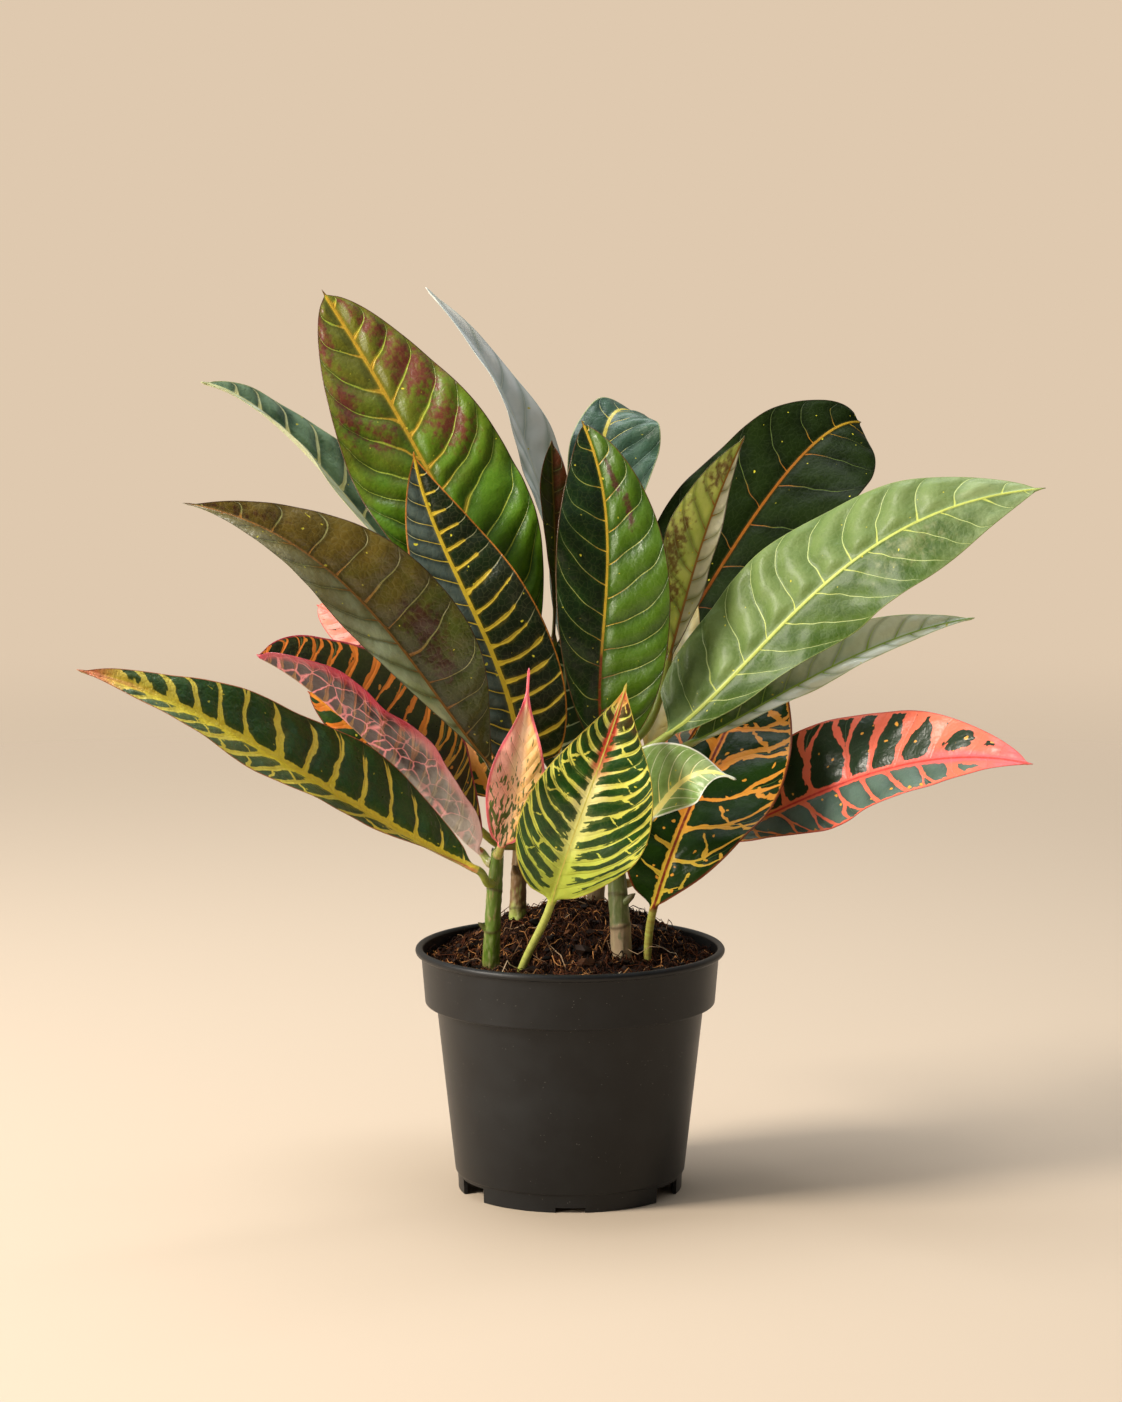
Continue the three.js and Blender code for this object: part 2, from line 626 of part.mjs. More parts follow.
// The width of one half (0 left, 1 right) at a share t of the blade's length: a sine bulge
// whose top is at the peak, raised to a power that runs from the base's to the tip's.
function halfWidth(leaf, t, half) {
  const skew = Math.log(0.5) / Math.log(leaf.peak[half]);
  const power = lerp(leaf.full[0], leaf.full[1], t);
  const bulge = t >= 1 ? 0 : Math.sin(Math.PI * t ** skew) ** power;
  return Math.max(leaf.width[half] * bulge, blade.tipHalfWidth);
}

// The directions at a share t of the blade: across (to the right) and up from its face.
function bladeFrame(leaf, t) {
  const along = spineTangent(leaf.spine, t);
  const look = vector(leaf.face[0]).lerp(vector(leaf.face[leaf.face.length - 1]), t);
  const up = squareTo(along, look);
  return { across: along.cross(up), up };
}

// A point of the blade's upper side: t runs along it, s from -1 (left margin) to 1 (right).
function bladePoint(leaf, t, s) {
  const { across, up } = bladeFrame(leaf, t);
  const half = s < 0 ? 0 : 1;
  const reach = halfWidth(leaf, t, half) * Math.abs(s);
  const fold = radians(leaf.fold[half]);
  const swing = 2 * Math.PI * leaf.waves * t + leaf.phase + half * blade.wavesApart;
  const wave = leaf.wave * Math.sin(Math.PI * t) * s * s * Math.sin(swing);
  return spinePoint(leaf.spine, t)
    .addScaledVector(across, Math.sign(s) * reach * Math.cos(fold))
    .addScaledVector(up, reach * Math.sin(fold) + wave);
}

// One ring round the blade: its upper side from left to right, then its under side back again.
function bladeRing(leaf, t) {
  const { up } = bladeFrame(leaf, t);
  const top = acrossBlade.map((s) => bladePoint(leaf, t, s));
  const keel = lerp(blade.keelAtBase, blade.keelAtTip, t);
  const depths = [blade.marginThickness, blade.thickness, keel, blade.thickness, blade.marginThickness];
  const under = top.map((p, k) => p.clone().addScaledVector(up, -depths[k]));
  return [...top, ...under.reverse()];
}

// Where the leaf's stalk starts and which way it sets out: straight up from below the surface
// of the soil, or square to its stem and just clear of it. deeper sinks the end in the soil.
function stalkStart(leaf, deeper) {
  if (leaf.soil) {
    const [x, y] = leaf.soil;
    const depth = stalk.depth + deeper;
    return { start: new THREE.Vector3(x, y, soilHeight(x, y) - depth), out: new THREE.Vector3(0, 0, 1) };
  }
  const stem = stems[leaf.stem];
  const curve = stemCurve(stem);
  const u = stemShareAt(curve, leaf.height);
  const middle = curve.getPoint(u);
  const out = squareTo(curve.getTangent(u), vector(leaf.spine[0]).sub(middle));
  return { start: middle.addScaledVector(out, stemRadius(stem, u) + touchGap), out };
}

function stalkCurve(leaf, deeper) {
  const { start, out } = stalkStart(leaf, deeper);
  const base = vector(leaf.spine[0]);
  const span = start.distanceTo(base);
  return new THREE.CubicBezierCurve3(
    start,
    start.clone().addScaledVector(out, span * stalk.setOut),
    base.clone().addScaledVector(spineTangent(leaf.spine, 0), -span * stalk.runIn),
    base,
  );
}

function stalkRings(leaf, swell) {
  const curve = stalkCurve(leaf, swell);
  const steps = leaf.soil ? stalk.soilSteps : stalk.steps;
  const sides = acrossBlade.length * 2;
  const look = vector(leaf.face[0]);
  return Array.from({ length: steps }, (_, i) => {
    const u = i / steps;
    return ring(curve.getPoint(u), curve.getTangent(u), look, stalk.radius + swell, sides);
  });
}

// The quads of the under side are split along the same lines as those of the upper side.
function makeLeaf(leaf) {
  const rings = [...stalkRings(leaf, 0), ...bladeStations.map((t) => bladeRing(leaf, t))];
  return loft(rings, (j) => j >= acrossBlade.length);
}

// ---- The whole plant ----------------------------------------------------------------------

const plant = new THREE.Group();

function addPiece(name, geometry, { colour, roughness }) {
  const finish = new THREE.MeshStandardMaterial({ color: colour, roughness, metalness: 0 });
  const mesh = new THREE.Mesh(geometry, finish);
  mesh.name = name;
  plant.add(mesh);
}

const stemHoles = Object.values(stems).map((stem) => stemBar(stem, touchGap));
const soilLeaves = Object.values(leaves).filter((leaf) => leaf.soil);
const stalkHoles = soilLeaves.map((leaf) => loft(stalkRings(leaf, touchGap)));

addPiece('pot', makePot(), finishes.pot);
addPiece('soil', makeSoil([...stemHoles, ...stalkHoles]), finishes.soil);
for (const [name, stem] of Object.entries(stems)) {
  addPiece(`stem_${name}`, makeStem(stem), finishes.stem);
}
for (const [name, leaf] of Object.entries(leaves)) {
  addPiece(`leaf_${name}`, makeLeaf(leaf), finishes[leaf.finish]);
}

export default plant;
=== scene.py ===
# %% [markdown]
# # A potted croton
# A croton is a house plant with large leathery leaves that are painted by nature: green,
# near-black, silver, yellow, orange and coral on one plant, always along the veins. This
# script dresses the solid model of one in a black nursery pot. The solids fix where each
# leaf, stem and the pot is; here every one of them gets its fine surface and its finish.
# The solids come first, because every piece below is placed by them.

# %% Load the solid model
import json
import math
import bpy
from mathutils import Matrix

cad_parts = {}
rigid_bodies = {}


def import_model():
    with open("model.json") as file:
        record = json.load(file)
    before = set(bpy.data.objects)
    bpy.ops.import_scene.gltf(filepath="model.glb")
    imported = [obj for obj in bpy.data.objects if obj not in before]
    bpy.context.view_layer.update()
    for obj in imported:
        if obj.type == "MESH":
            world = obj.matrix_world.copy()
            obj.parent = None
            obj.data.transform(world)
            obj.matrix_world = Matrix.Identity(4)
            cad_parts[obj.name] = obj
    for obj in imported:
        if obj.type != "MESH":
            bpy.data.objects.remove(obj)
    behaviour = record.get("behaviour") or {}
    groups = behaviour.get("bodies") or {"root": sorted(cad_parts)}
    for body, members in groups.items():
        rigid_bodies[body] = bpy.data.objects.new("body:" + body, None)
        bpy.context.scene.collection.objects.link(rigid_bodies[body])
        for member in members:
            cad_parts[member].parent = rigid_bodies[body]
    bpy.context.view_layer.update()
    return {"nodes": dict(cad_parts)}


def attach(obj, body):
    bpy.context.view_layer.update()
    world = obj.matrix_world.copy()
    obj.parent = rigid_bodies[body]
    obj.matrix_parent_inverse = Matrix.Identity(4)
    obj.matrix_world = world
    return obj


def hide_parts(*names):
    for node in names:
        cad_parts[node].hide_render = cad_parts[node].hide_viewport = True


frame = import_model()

from types import SimpleNamespace

import bpy
import numpy as np
from mathutils import Vector

print("solids:", len(frame["nodes"]), "pieces")

# %% [markdown]
# ## Units
# The drawings of a plant are easier to read in millimetres, and Blender works in metres,
# so all shapes are worked out in millimetres and scaled once, when a mesh is made.

# %% Units and small number helpers
MM = 0.001


def lerp(a, b, share):
    """a at share 0, b at share 1, a straight line between."""
    return a + (b - a) * share


def smooth(low, high, value):
    """0 below low, 1 above high, and the S-shaped curve 3u^2 - 2u^3 between."""
    u = np.clip((value - low) / (high - low), 0, 1)
    return u * u * (3 - 2 * u)


def ripple(x, y, wavelength, seed, waves=6):
    """Soft random hills between about -1 and 1: the mean of a few sine waves that run in
    random directions with about the given wavelength, times the square root of their number."""
    rng = np.random.default_rng(seed)
    turn = rng.uniform(0, 2 * np.pi, waves)
    stretch = rng.uniform(0.7, 1.4, waves) * 2 * np.pi / wavelength
    phase = rng.uniform(0, 2 * np.pi, waves)
    hills = np.sin(
        np.multiply.outer(x, np.cos(turn) * stretch)
        + np.multiply.outer(y, np.sin(turn) * stretch)
        + phase
    )
    return hills.mean(-1) * math.sqrt(waves)


def colour(code):
    """A colour written as six hex digits, as the linear red, green, blue and alpha of a shader."""
    parts = np.array([int(code[i : i + 2], 16) / 255 for i in (0, 2, 4)])
    linear = np.where(parts <= 0.04045, parts / 12.92, ((parts + 0.055) / 1.055) ** 2.4)
    return (*linear.tolist(), 1.0)


# %% [markdown]
# ## From a grid of points to a mesh
# Nearly everything on a plant is a tube or a sheet: a stalk, a stem, a blade, a pot's wall.
# All of them can be worked out as rows of rings. The rings lie in one numpy array, and one
# function turns such an array into a closed mesh, with any values that the finish needs
# stored on its points. Blender's own primitives would need to be pushed into place point by
# point; a formula over the whole array says the shape in one line.

# %% Meshes from arrays
def triple(first, second=0.0, third=0.0):
    """Up to three numbers for each point, side by side as the vector that a mesh stores."""
    return np.stack(np.broadcast_arrays(first, second, third), -1)


def make_object(name, skins, material, sharp=None):
    """A smooth-shaded object from skins, each a tuple of points (n, 3) in millimetres,
    triangles (m, 3) and named vectors for each point. sharp is the angle, in degrees, from
    which an edge stays an edge."""
    starts = np.cumsum([0] + [len(skin[0]) for skin in skins])
    points = np.concatenate([skin[0] for skin in skins])
    faces = np.concatenate([skin[1] + start for skin, start in zip(skins, starts)])
    mesh = bpy.data.meshes.new(name)
    mesh.vertices.add(len(points))
    mesh.vertices.foreach_set("co", (points * MM).astype(np.float32).ravel())
    mesh.loops.add(faces.size)
    mesh.loops.foreach_set("vertex_index", faces.astype(np.int32).ravel())
    mesh.polygons.add(len(faces))
    mesh.polygons.foreach_set("loop_start", np.arange(0, faces.size, 3, dtype=np.int32))
    mesh.polygons.foreach_set("use_smooth", np.ones(len(faces), bool))
    mesh.update(calc_edges=True)
    for field in skins[0][2]:
        values = np.concatenate([skin[2][field] for skin in skins])
        layer = mesh.attributes.new(field, "FLOAT_VECTOR", "POINT")
        layer.data.foreach_set("vector", values.astype(np.float32).ravel())
    if sharp:
        mesh.set_sharp_from_angle(angle=math.radians(sharp))
    mesh.materials.append(material)
    obj = bpy.data.objects.new(name, mesh)
    bpy.context.scene.collection.objects.link(obj)
    return obj


def facing_out(points, faces):
    """The triangles, turned round if the volume inside them, the sum of a . (b x c) / 6,
    comes out below zero."""
    a, b, c = (points[faces[:, k]] for k in range(3))
    return faces if (a * np.cross(b, c)).sum() > 0 else faces[:, ::-1]


def halved(quads):
    """Two triangles for each quad (a, b, c, d): a, b, c and a, c, d."""
    return np.concatenate([quads[:, [0, 1, 2]], quads[:, [0, 2, 3]]])


def ring_quads(rows, columns, kept=None):
    """The triangles between the rings of a tube. kept says which of its quads are there."""
    i, j = np.meshgrid(np.arange(rows - 1), np.arange(columns), indexing="ij")
    a, b = i * columns + j, i * columns + (j + 1) % columns
    quads = np.stack([a, b, b + columns, a + columns], -1)
    return halved(quads.reshape(-1, 4) if kept is None else quads[kept])


def tube_skin(rings, fields=None, kept=None):
    """The closed skin over rings (rows, columns, 3), each end closed by a fan to its middle."""
    rows, columns = rings.shape[:2]
    with_ends = lambda v: np.concatenate([v.reshape(-1, 3), v[[0, -1]].mean(1)])
    j = np.arange(columns)
    beside = (j + 1) % columns
    top = (rows - 1) * columns
    first = np.stack([beside, j, np.full(columns, rows * columns)], -1)
    last = np.stack([top + j, top + beside, np.full(columns, rows * columns + 1)], -1)
    points = with_ends(rings)
    faces = facing_out(points, np.concatenate([ring_quads(rows, columns, kept), first, last]))
    return points, faces, {key: with_ends(value) for key, value in (fields or {}).items()}


def unit(vectors):
    """The vectors at length 1."""
    return vectors / np.linalg.norm(vectors, axis=-1, keepdims=True)


def square_to(along, hint):
    """The part of hint that is square to along, at length 1."""
    return unit(hint - (hint * along).sum(-1, keepdims=True) * along)


def round_rings(centres, hint, radii, sides):
    """Rings of points round a path: centre + across r cos a + up r sin a, where a starts on the
    left and goes over the top. radii is one number for each ring, or one for each point."""
    along = unit(np.gradient(centres, axis=0))
    up = square_to(along, hint)
    across = np.cross(along, up)
    angle = np.pi - (np.arange(sides) + 0.5) * 2 * np.pi / sides
    radii = np.broadcast_to(np.reshape(radii, (len(centres), -1)), (len(centres), sides))
    return (
        centres[:, None]
        + across[:, None] * (radii * np.cos(angle))[..., None]
        + up[:, None] * (radii * np.sin(angle))[..., None]
    )


# %% [markdown]
# ## Finishes as arithmetic
# A procedural finish is a sum: a vein here, a shade there, a speck on top. Wired by hand it
# takes dozens of nodes. This small class lets Python's own operators add the nodes, so that
# a finish reads like the sum that it is.

# %% Shader arithmetic
def maths(operation, swapped=False):
    """A method of Wire that adds a Math node. swapped puts the other value first, which is
    what Python asks for when a number stands before a wire, as in 1 - mask."""

    def add_node(self, *others):
        values = (*others, self) if swapped else (self, *others)
        return self.net.node("ShaderNodeMath", {"operation": operation}, dict(enumerate(values)))

    return add_node


class Wire:
    """An output socket of a node that takes part in Python's arithmetic."""

    def __init__(self, net, socket):
        self.net, self.socket = net, socket

    __add__ = __radd__ = maths("ADD")
    __mul__ = __rmul__ = maths("MULTIPLY")
    __sub__, __rsub__ = maths("SUBTRACT"), maths("SUBTRACT", swapped=True)
    __truediv__, __rtruediv__ = maths("DIVIDE"), maths("DIVIDE", swapped=True)
    __abs__ = maths("ABSOLUTE")
    least, most = maths("MINIMUM"), maths("MAXIMUM")  # the smaller and the larger of two
    near = maths("SMOOTH_MIN")  # near(other, blend): the smaller, rounded where they cross
    above = maths("GREATER_THAN")  # 1 where this is the larger, 0 elsewhere
    whole, floor = maths("ROUND"), maths("FLOOR")  # the nearest whole number, and the one below
    swing = maths("PINGPONG")  # swing(length): runs up and down between 0 and that length

    def step(self, low, high):
        """0 at low and 1 at high with a soft S between; low may be the larger."""
        settings = {"interpolation_type": "SMOOTHSTEP"}
        ends = {"Value": self, "From Min": low, "From Max": high}
        return self.net.node("ShaderNodeMapRange", settings, ends)


# %% Nodes
class Net:
    """A tree of nodes, with one method that adds any node and a few for common ones."""

    def __init__(self, tree):
        self.tree = tree

    def node(self, kind, settings=None, inputs=None, output=0):
        """Adds a node: its settings first, then a value or a wire for each of its sockets."""
        node = self.tree.nodes.new(kind)
        for key, value in (settings or {}).items():
            setattr(node, key, value)
        for key, value in (inputs or {}).items():
            if isinstance(value, Wire):
                self.tree.links.new(value.socket, node.inputs[key])
            else:
                node.inputs[key].default_value = value
        return Wire(self, node.outputs[output])

    def parts(self, vector):
        """The three numbers of a vector."""
        split = self.node("ShaderNodeSeparateXYZ", None, {0: vector})
        return [Wire(self, socket) for socket in split.socket.node.outputs]

    def field(self, name):
        """The three numbers that a mesh stores under that name."""
        return self.parts(self.node("ShaderNodeAttribute", {"attribute_name": name}, output="Vector"))

    def vector(self, x, y):
        """The vector (x, y, 0)."""
        return self.node("ShaderNodeCombineXYZ", None, {0: x, 1: y})

    def vector_maths(self, operation, *values, output=0):
        """Arithmetic on whole vectors, such as a pattern's place."""
        settings = {"operation": operation}
        return self.node("ShaderNodeVectorMath", settings, dict(enumerate(values)), output)

    def place(self):
        """Where the point is on the object, in millimetres."""
        where = self.node("ShaderNodeTexCoord", output="Object")
        return self.vector_maths("MULTIPLY", where, (1000, 1000, 1000))

    def noise(self, where, size, detail):
        """Clouds from 0 to 1 of about that size, in millimetres; more detail is finer."""
        inputs = {"Vector": where, "Scale": 1 / size, "Detail": detail}
        return self.node("ShaderNodeTexNoise", None, inputs)

    def cells(self, where, size, feature="F1"):
        """Distance to the middle, or to the edge, of random cells of about that size."""
        inputs = {"Vector": where, "Scale": 1 / size}
        return self.node("ShaderNodeTexVoronoi", {"feature": feature}, inputs, "Distance")

    def dice(self, first, second):
        """A random number from 0 to 1 for each pair of whole numbers."""
        where = {"Vector": self.vector(first, second)}
        return self.node("ShaderNodeTexWhiteNoise", {"noise_dimensions": "2D"}, where)

    def mix(self, share, a, b):
        """Colour a where share is 0, colour b where it is 1, each a wire or six hex digits."""
        a, b = (colour(c) if isinstance(c, str) else c for c in (a, b))
        return self.node("ShaderNodeMix", {"data_type": "RGBA"}, {0: share, 6: a, 7: b}, 2)

    def bump(self, height, depth, strength=1.0):
        """A relief of that depth in millimetres, for the Normal socket."""
        inputs = {"Height": height, "Distance": depth * MM, "Strength": strength}
        return self.node("ShaderNodeBump", None, inputs)


# %% Materials
class Finish(Net):
    """A material on a Principled shader, whose constants are set on the shader's own sockets."""

    def __init__(self, name, **constants):
        self.material = bpy.data.materials.new(name)
        self.material.use_nodes = True
        super().__init__(self.material.node_tree)
        self.shader = self.tree.nodes["Principled BSDF"]
        for socket, value in constants.items():
            self.shader.inputs[socket.replace("_", " ")].default_value = value

    def give(self, **wires):
        """Connects wires to the sockets of the Principled shader and returns the material."""
        for socket, wire in wires.items():
            self.tree.links.new(wire.socket, self.shader.inputs[socket.replace("_", " ")])
        return self.material


# %% [markdown]
# ## Stems
# A croton's stems are green when young and turn to grey-brown bark from the foot up. The
# leaves fall from the lower part and leave ring-shaped scars. Each stem follows the same
# points as its solid, through the same kind of curve, so that the stalks below meet it.

# %% Where the stems run
# Each stem: four points from the soil's surface up, the radius at each, and its side buds
# (height, angle from the front in degrees, length, radius).
stems = {
    "left": {
        "path": [(-43, -26, 127), (-42, -30, 150), (-41, -33, 172), (-39, -34, 196)],
        "radii": (4.9, 4.3, 4.2, 3.2),
        "spurs": [(147, -75, 6, 1.9), (188, 200, 5, 1.6)],
    },
    "middle": {
        "path": [(-29, 22, 142), (-28, 20, 180), (-24, 16, 222), (-20, 14, 272)],
        "radii": (4.8, 4.2, 3.9, 2.6),
        "spurs": [(170, -20, 7, 2.2), (205, 150, 5, 1.8)],
    },
    "right": {
        "path": [(28, -21, 133), (26, -18, 165), (23, -8, 205), (22, 6, 262)],
        "radii": (5.9, 5.2, 4.6, 2.8),
        "spurs": [(160, 60, 8, 2.4), (184, -60, 5, 1.9)],
    },
    "back": {
        "path": [(14, 44, 148), (18, 44, 190), (24, 42, 232), (26, 40, 284)],
        "radii": (4.9, 4.3, 3.9, 2.6),
        "spurs": [(172, 170, 6, 2.0)],
    },
}
STEM_DEPTH = 42  # how far a stem stands in the soil
STEM_FOOT_SHARE = 0.8  # the radius at its foot, as a share of that at the surface
STEM_STEPS = 400


def stem_line(stem):
    """The stem's middle line and radius, from its foot in the soil to its top. Between two
    points the line is the cubic that leaves and meets them with the slopes of a centripetal
    Catmull-Rom curve, in which the root of the distance to each neighbour is its weight."""
    path = np.array(stem["path"], float)
    knots = np.vstack([path[0] - (0, 0, STEM_DEPTH), path])
    padded = np.vstack([2 * knots[0] - knots[1], knots, 2 * knots[-1] - knots[-2]])
    gap = np.sqrt(np.linalg.norm(np.diff(padded, axis=0), axis=1))[:, None]
    place = np.linspace(0, len(knots) - 1, STEM_STEPS)
    k = np.minimum(place.astype(int), len(knots) - 2)
    u = (place - k)[:, None]
    p0, p1, p2, p3 = (padded[k + n] for n in range(4))
    g0, g1, g2 = (gap[k + n] for n in range(3))
    leave = g1 * ((p1 - p0) / g0 - (p2 - p0) / (g0 + g1) + (p2 - p1) / g1)
    meet = g1 * ((p2 - p1) / g1 - (p3 - p1) / (g1 + g2) + (p3 - p2) / g2)
    a = 2 * p1 - 2 * p2 + leave + meet
    b = 3 * p2 - 3 * p1 - 2 * leave - meet
    line = ((a * u + b) * u + leave) * u + p1
    radii = (stem["radii"][0] * STEM_FOOT_SHARE, *stem["radii"])
    return line, np.interp(place, np.arange(len(knots)), radii)


stem_lines = {name: stem_line(stem) for name, stem in stems.items()}
print("stems:", ", ".join(f"{name} {line[-1, 2]:.0f} mm high" for name, (line, _) in stem_lines.items()))

# %% [markdown]
# ## The leaves' shapes
# A leaf is drawn by its midrib, a cubic curve through four points; by the way that its face
# looks; and by how wide each half is. The solids were made from the same few numbers. Each
# leaf's look is a few more numbers: its colours, and how broad the colour is along the veins.
# A row says only in what its leaf differs from a usual one, so that the rows stay short.

# %% How a leaf is written down
leaves = {}


def draw_leaf(
    name, finish, stem=None, height=None, *, soil=None, width, face, spine,
    peak=(0.45, 0.45), full=(0.9, 0.8), fold=(8, 8), wave=3, waves=3, phase=0, **look,
):
    """Adds a leaf, whose stalk starts on a stem at a height, or in the soil at (x, y).

    width, peak and fold are for the left and right half: its width in millimetres, the share
    of the midrib at which it is widest, and the degrees by which it stands up. full is how
    pointed the outline is at the base and the tip: the smaller, the blunter. wave, waves and
    phase are the height, number and start of the margin's waves. spine has the midrib's four
    points. face is the way the upper side looks, at the base and then at the tip. All the
    rest is the leaf's own look, as far as it differs from the look of its finish."""
    leaves[name] = dict(
        finish=finish, stem=stem, height=height, soil=soil, width=width, face=face, spine=spine,
        peak=peak, full=full, fold=fold, wave=wave, waves=waves, phase=phase, look=look,
    )


# %% The high leaves
draw_leaf(
    "upper_left", "green", "middle", 262, width=(42, 45), peak=(0.55, 0.47), full=(0.75, 0.62),
    fold=(10, 6), face=[(0.2, -1, 0.25)],
    spine=[(-24, 14, 290), (-57, 18, 355), (-92, 34, 419), (-137, 56, 492)],
    laterals=12, slant=(0.8, 0.6), loop=9, quilt=(1.6, 1.9), ground="527a12", shade="335808",
    furrow="26420a", ground_tip="6e6a22", vein="c39c2c", vein_far="9fb03c", vein_base="a9b236",
    mid=(0.8, 0.9), lat=(0.85, 0.2), reach=(0.75, 0.8), ragged=0.4, halo=0.3, groove=0.5, line="a2ac4a",
    flush=[(0.94, -0.45, 0.025, 0.25, 0.5)],
    blotch=[(0.78, 0.6, 0.12, 0.4, 1), (0.9, 0.6, 0.1, 0.4, 0.8), (0.75, -0.7, 0.09, 0.25, 0.95),
            (0.92, -0.8, 0.08, 0.3, 0.9), (0.62, 0.55, 0.08, 0.3, 0.95), (0.66, -0.35, 0.06, 0.3, 0.7)],
    blotch_colour="6b2c2a", spots=0.0, rim="52201a", shine=0.3,
)
draw_leaf(
    "arched_left", "bluegreen", "middle", 250, width=(22, 26), full=(0.9, 0.9), fold=(22, 22), wave=2,
    phase=1, face=[(0.5, -0.3, 0.75)],
    spine=[(-36, 32, 273), (-90, 48, 335), (-147, 52, 404), (-203, 40, 442)],
    # The pale greens of its left half and its under side are partly its own and partly painted sheen from
    # the light above.
    laterals=12, slant=(0.8, 0.6), quilt=(0.8, 0.8), ground="7c9a78", other=("left", "d6dec0", "c8d2b0"),
    lat=(1.0, 0.7), reach=(1.0, 1.0), under="bcc7a0", under_shade="a3b08a", through=0.2,
)
draw_leaf(
    "dark_left", "dark", "middle", 223, width=(26, 33), peak=(0.45, 0.36), full=(0.4, 0.9), fold=(6, 8),
    wave=2.5, phase=2, face=[(0.1, -1, 0.1)],
    spine=[(-28, -6, 233), (-40, -10, 292), (-66, -2, 349), (-85, 6, 406)],
    laterals=17, slant=(0.6, 0.05), loop=2, ground="182010", shade="15280b",
    # The slate greens of its left half are a painted sheen on that near-black half.
    other=("left", "586660", "37443e"), vein="d0b234", vein_far="cbb03a", mid=(1.4, 0.7), lat=(0.75, 0.85),
    bars=(0.3, 1), reach=(0.7, 0.74), grow=0.85, line="b3b284", spots=0.3, rim="b8742a", rim_width=0.7,
    shine=0.2,
)
draw_leaf(
    "olive_left", "olive", "middle", 206, width=(27, 38), peak=(0.6, 0.45), full=(1.3, 1.05), fold=(42, 8),
    wave=2.5, phase=0.5, face=[(-0.1, -0.85, 0.5)],
    spine=[(-41, -25, 236), (-80, -44, 291), (-130, -56, 349), (-204, -66, 384)],
    laterals=12, slant=(1.0, -0.05), bend=0.1, loop=6, quilt=(0.8, 1.1), ground="3f4a0d", shade="2f3c0a",
    # The pale greens of its left half, and of its under side, are partly its own pale green and partly
    # painted sheen from the light above.
    furrow="2c290b", ground_tip="6b5618", tip_from=(0.25, 0.75), other=("left", "cdd8aa", "a5b57f"),
    vein_far="8c8c50", lat=(0.4, 0.25), groove=0.5, line="c9c996",
    blotch=[(0.42, 0.45, 0.07, 0.3, 1), (0.33, 0.35, 0.07, 0.25, 0.9), (0.9, 0.5, 0.12, 0.5, 0.6)],
    under="b3be90", under_shade="94a26e", under_vein="dde0ba", shine=0.6, uneven=1.5,
)
draw_leaf(
    "silver_top", "silver", "back", 268, width=(20, 20), full=(0.6, 1), fold=(25, 25), wave=2.5,
    face=[(0.8, -0.6, 0.3)],
    spine=[(2, 36, 262), (-7, 50, 336), (-29, 60, 417), (-80, 66, 493)],
    # Its near-white greens are mostly painted light: they stand in for light and sheen that this leaf,
    # turned from the window, does not get.
    laterals=9, slant=(1.6, 1.6), bend=0.6, quilt=(0.8, 0.8), ground="edf3f1", shade="c9d5d0",
    furrow="9fb2a6", vein="e2e6d8", vein_far="e2e6d8", mid=(0.5, 0.3), groove=0.6, line="ffffff", spots=0.0,
    rim="d3dedb", under="b9c6c0", under_shade="9fb0a8", under_vein="fbfdf8", through=0.0, shine=0.6,
    uneven=0.12,
)
draw_leaf(
    "small_top", "dark", "middle", 266, width=(9, 9), peak=(0.72, 0.72), full=(0.8, 0.8), fold=(15, 15),
    wave=1, waves=2, face=[(0.4, -1, 0.1)],
    spine=[(-9, 16, 300), (-8, 17, 340), (-9, 18, 376), (-10, 22, 411)],
    laterals=9, ground="2c3a0c", shade="30300c", other=("right", "4a2410", "3a2c10"), vein="5a4a1a",
    vein_far="3f441a", mid=(0.5, 0.3), lat=(0.2, 0.15), rim="55281a",
)
draw_leaf(
    "arched_back", "silver", "back", 276, width=(18, 33), peak=(0.42, 0.5), full=(0.8, 0.8), wave=2.5,
    face=[(-0.1, -1, 0.35), (0.1, -0.3, 1)],
    spine=[(15, 58, 328), (16, 80, 386), (24, 100, 420), (45, 126, 413)],
    laterals=8, slant=(0.8, 1.2), quilt=(0.7, 0.9), ground="40604a", shade="2d4a38", furrow="20382a",
    vein="d3c24a", vein_far="b9bd7c", mid=(1.0, 0.9), lat=(0.4, 0.2), reach=(0.6, 0.4), line="5c7c60",
    under="4c6a54",
)
draw_leaf(
    "centre", "green", "right", 230, width=(29, 36), peak=(0.6, 0.42), full=(0.5, 0.72), fold=(16, 8),
    wave=2.5, phase=1, face=[(0, -1, 0.1)],
    spine=[(19, -8, 243), (17, -12, 299), (20, -6, 360), (6, 12, 423)],
    laterals=11, slant=(0.45, 0.35), loop=10, quilt=(0.5, 1.2), ground="47680f", shade="34540a",
    # The near-black greens of its left half are painted shade: that half faces away from the window.
    furrow="223c08", other=("left", "0d2404", "163306"), vein="7a3414", vein_far="a3a84c",
    vein_tip="c3a02c", tip_paint=(0.28, 0.42), mid=(0.7, 0.6), lat=(0.2, 0.12), groove=0.5, line="9caf68",
    blotch=[(0.83, 0.35, 0.05, 0.1, 1.2), (0.74, 0.5, 0.06, 0.1, 1)], blotch_colour="4a1f20", spots=0.05,
    rim="5a3a1c", shine=0.4,
)
print("leaves so far:", len(leaves))

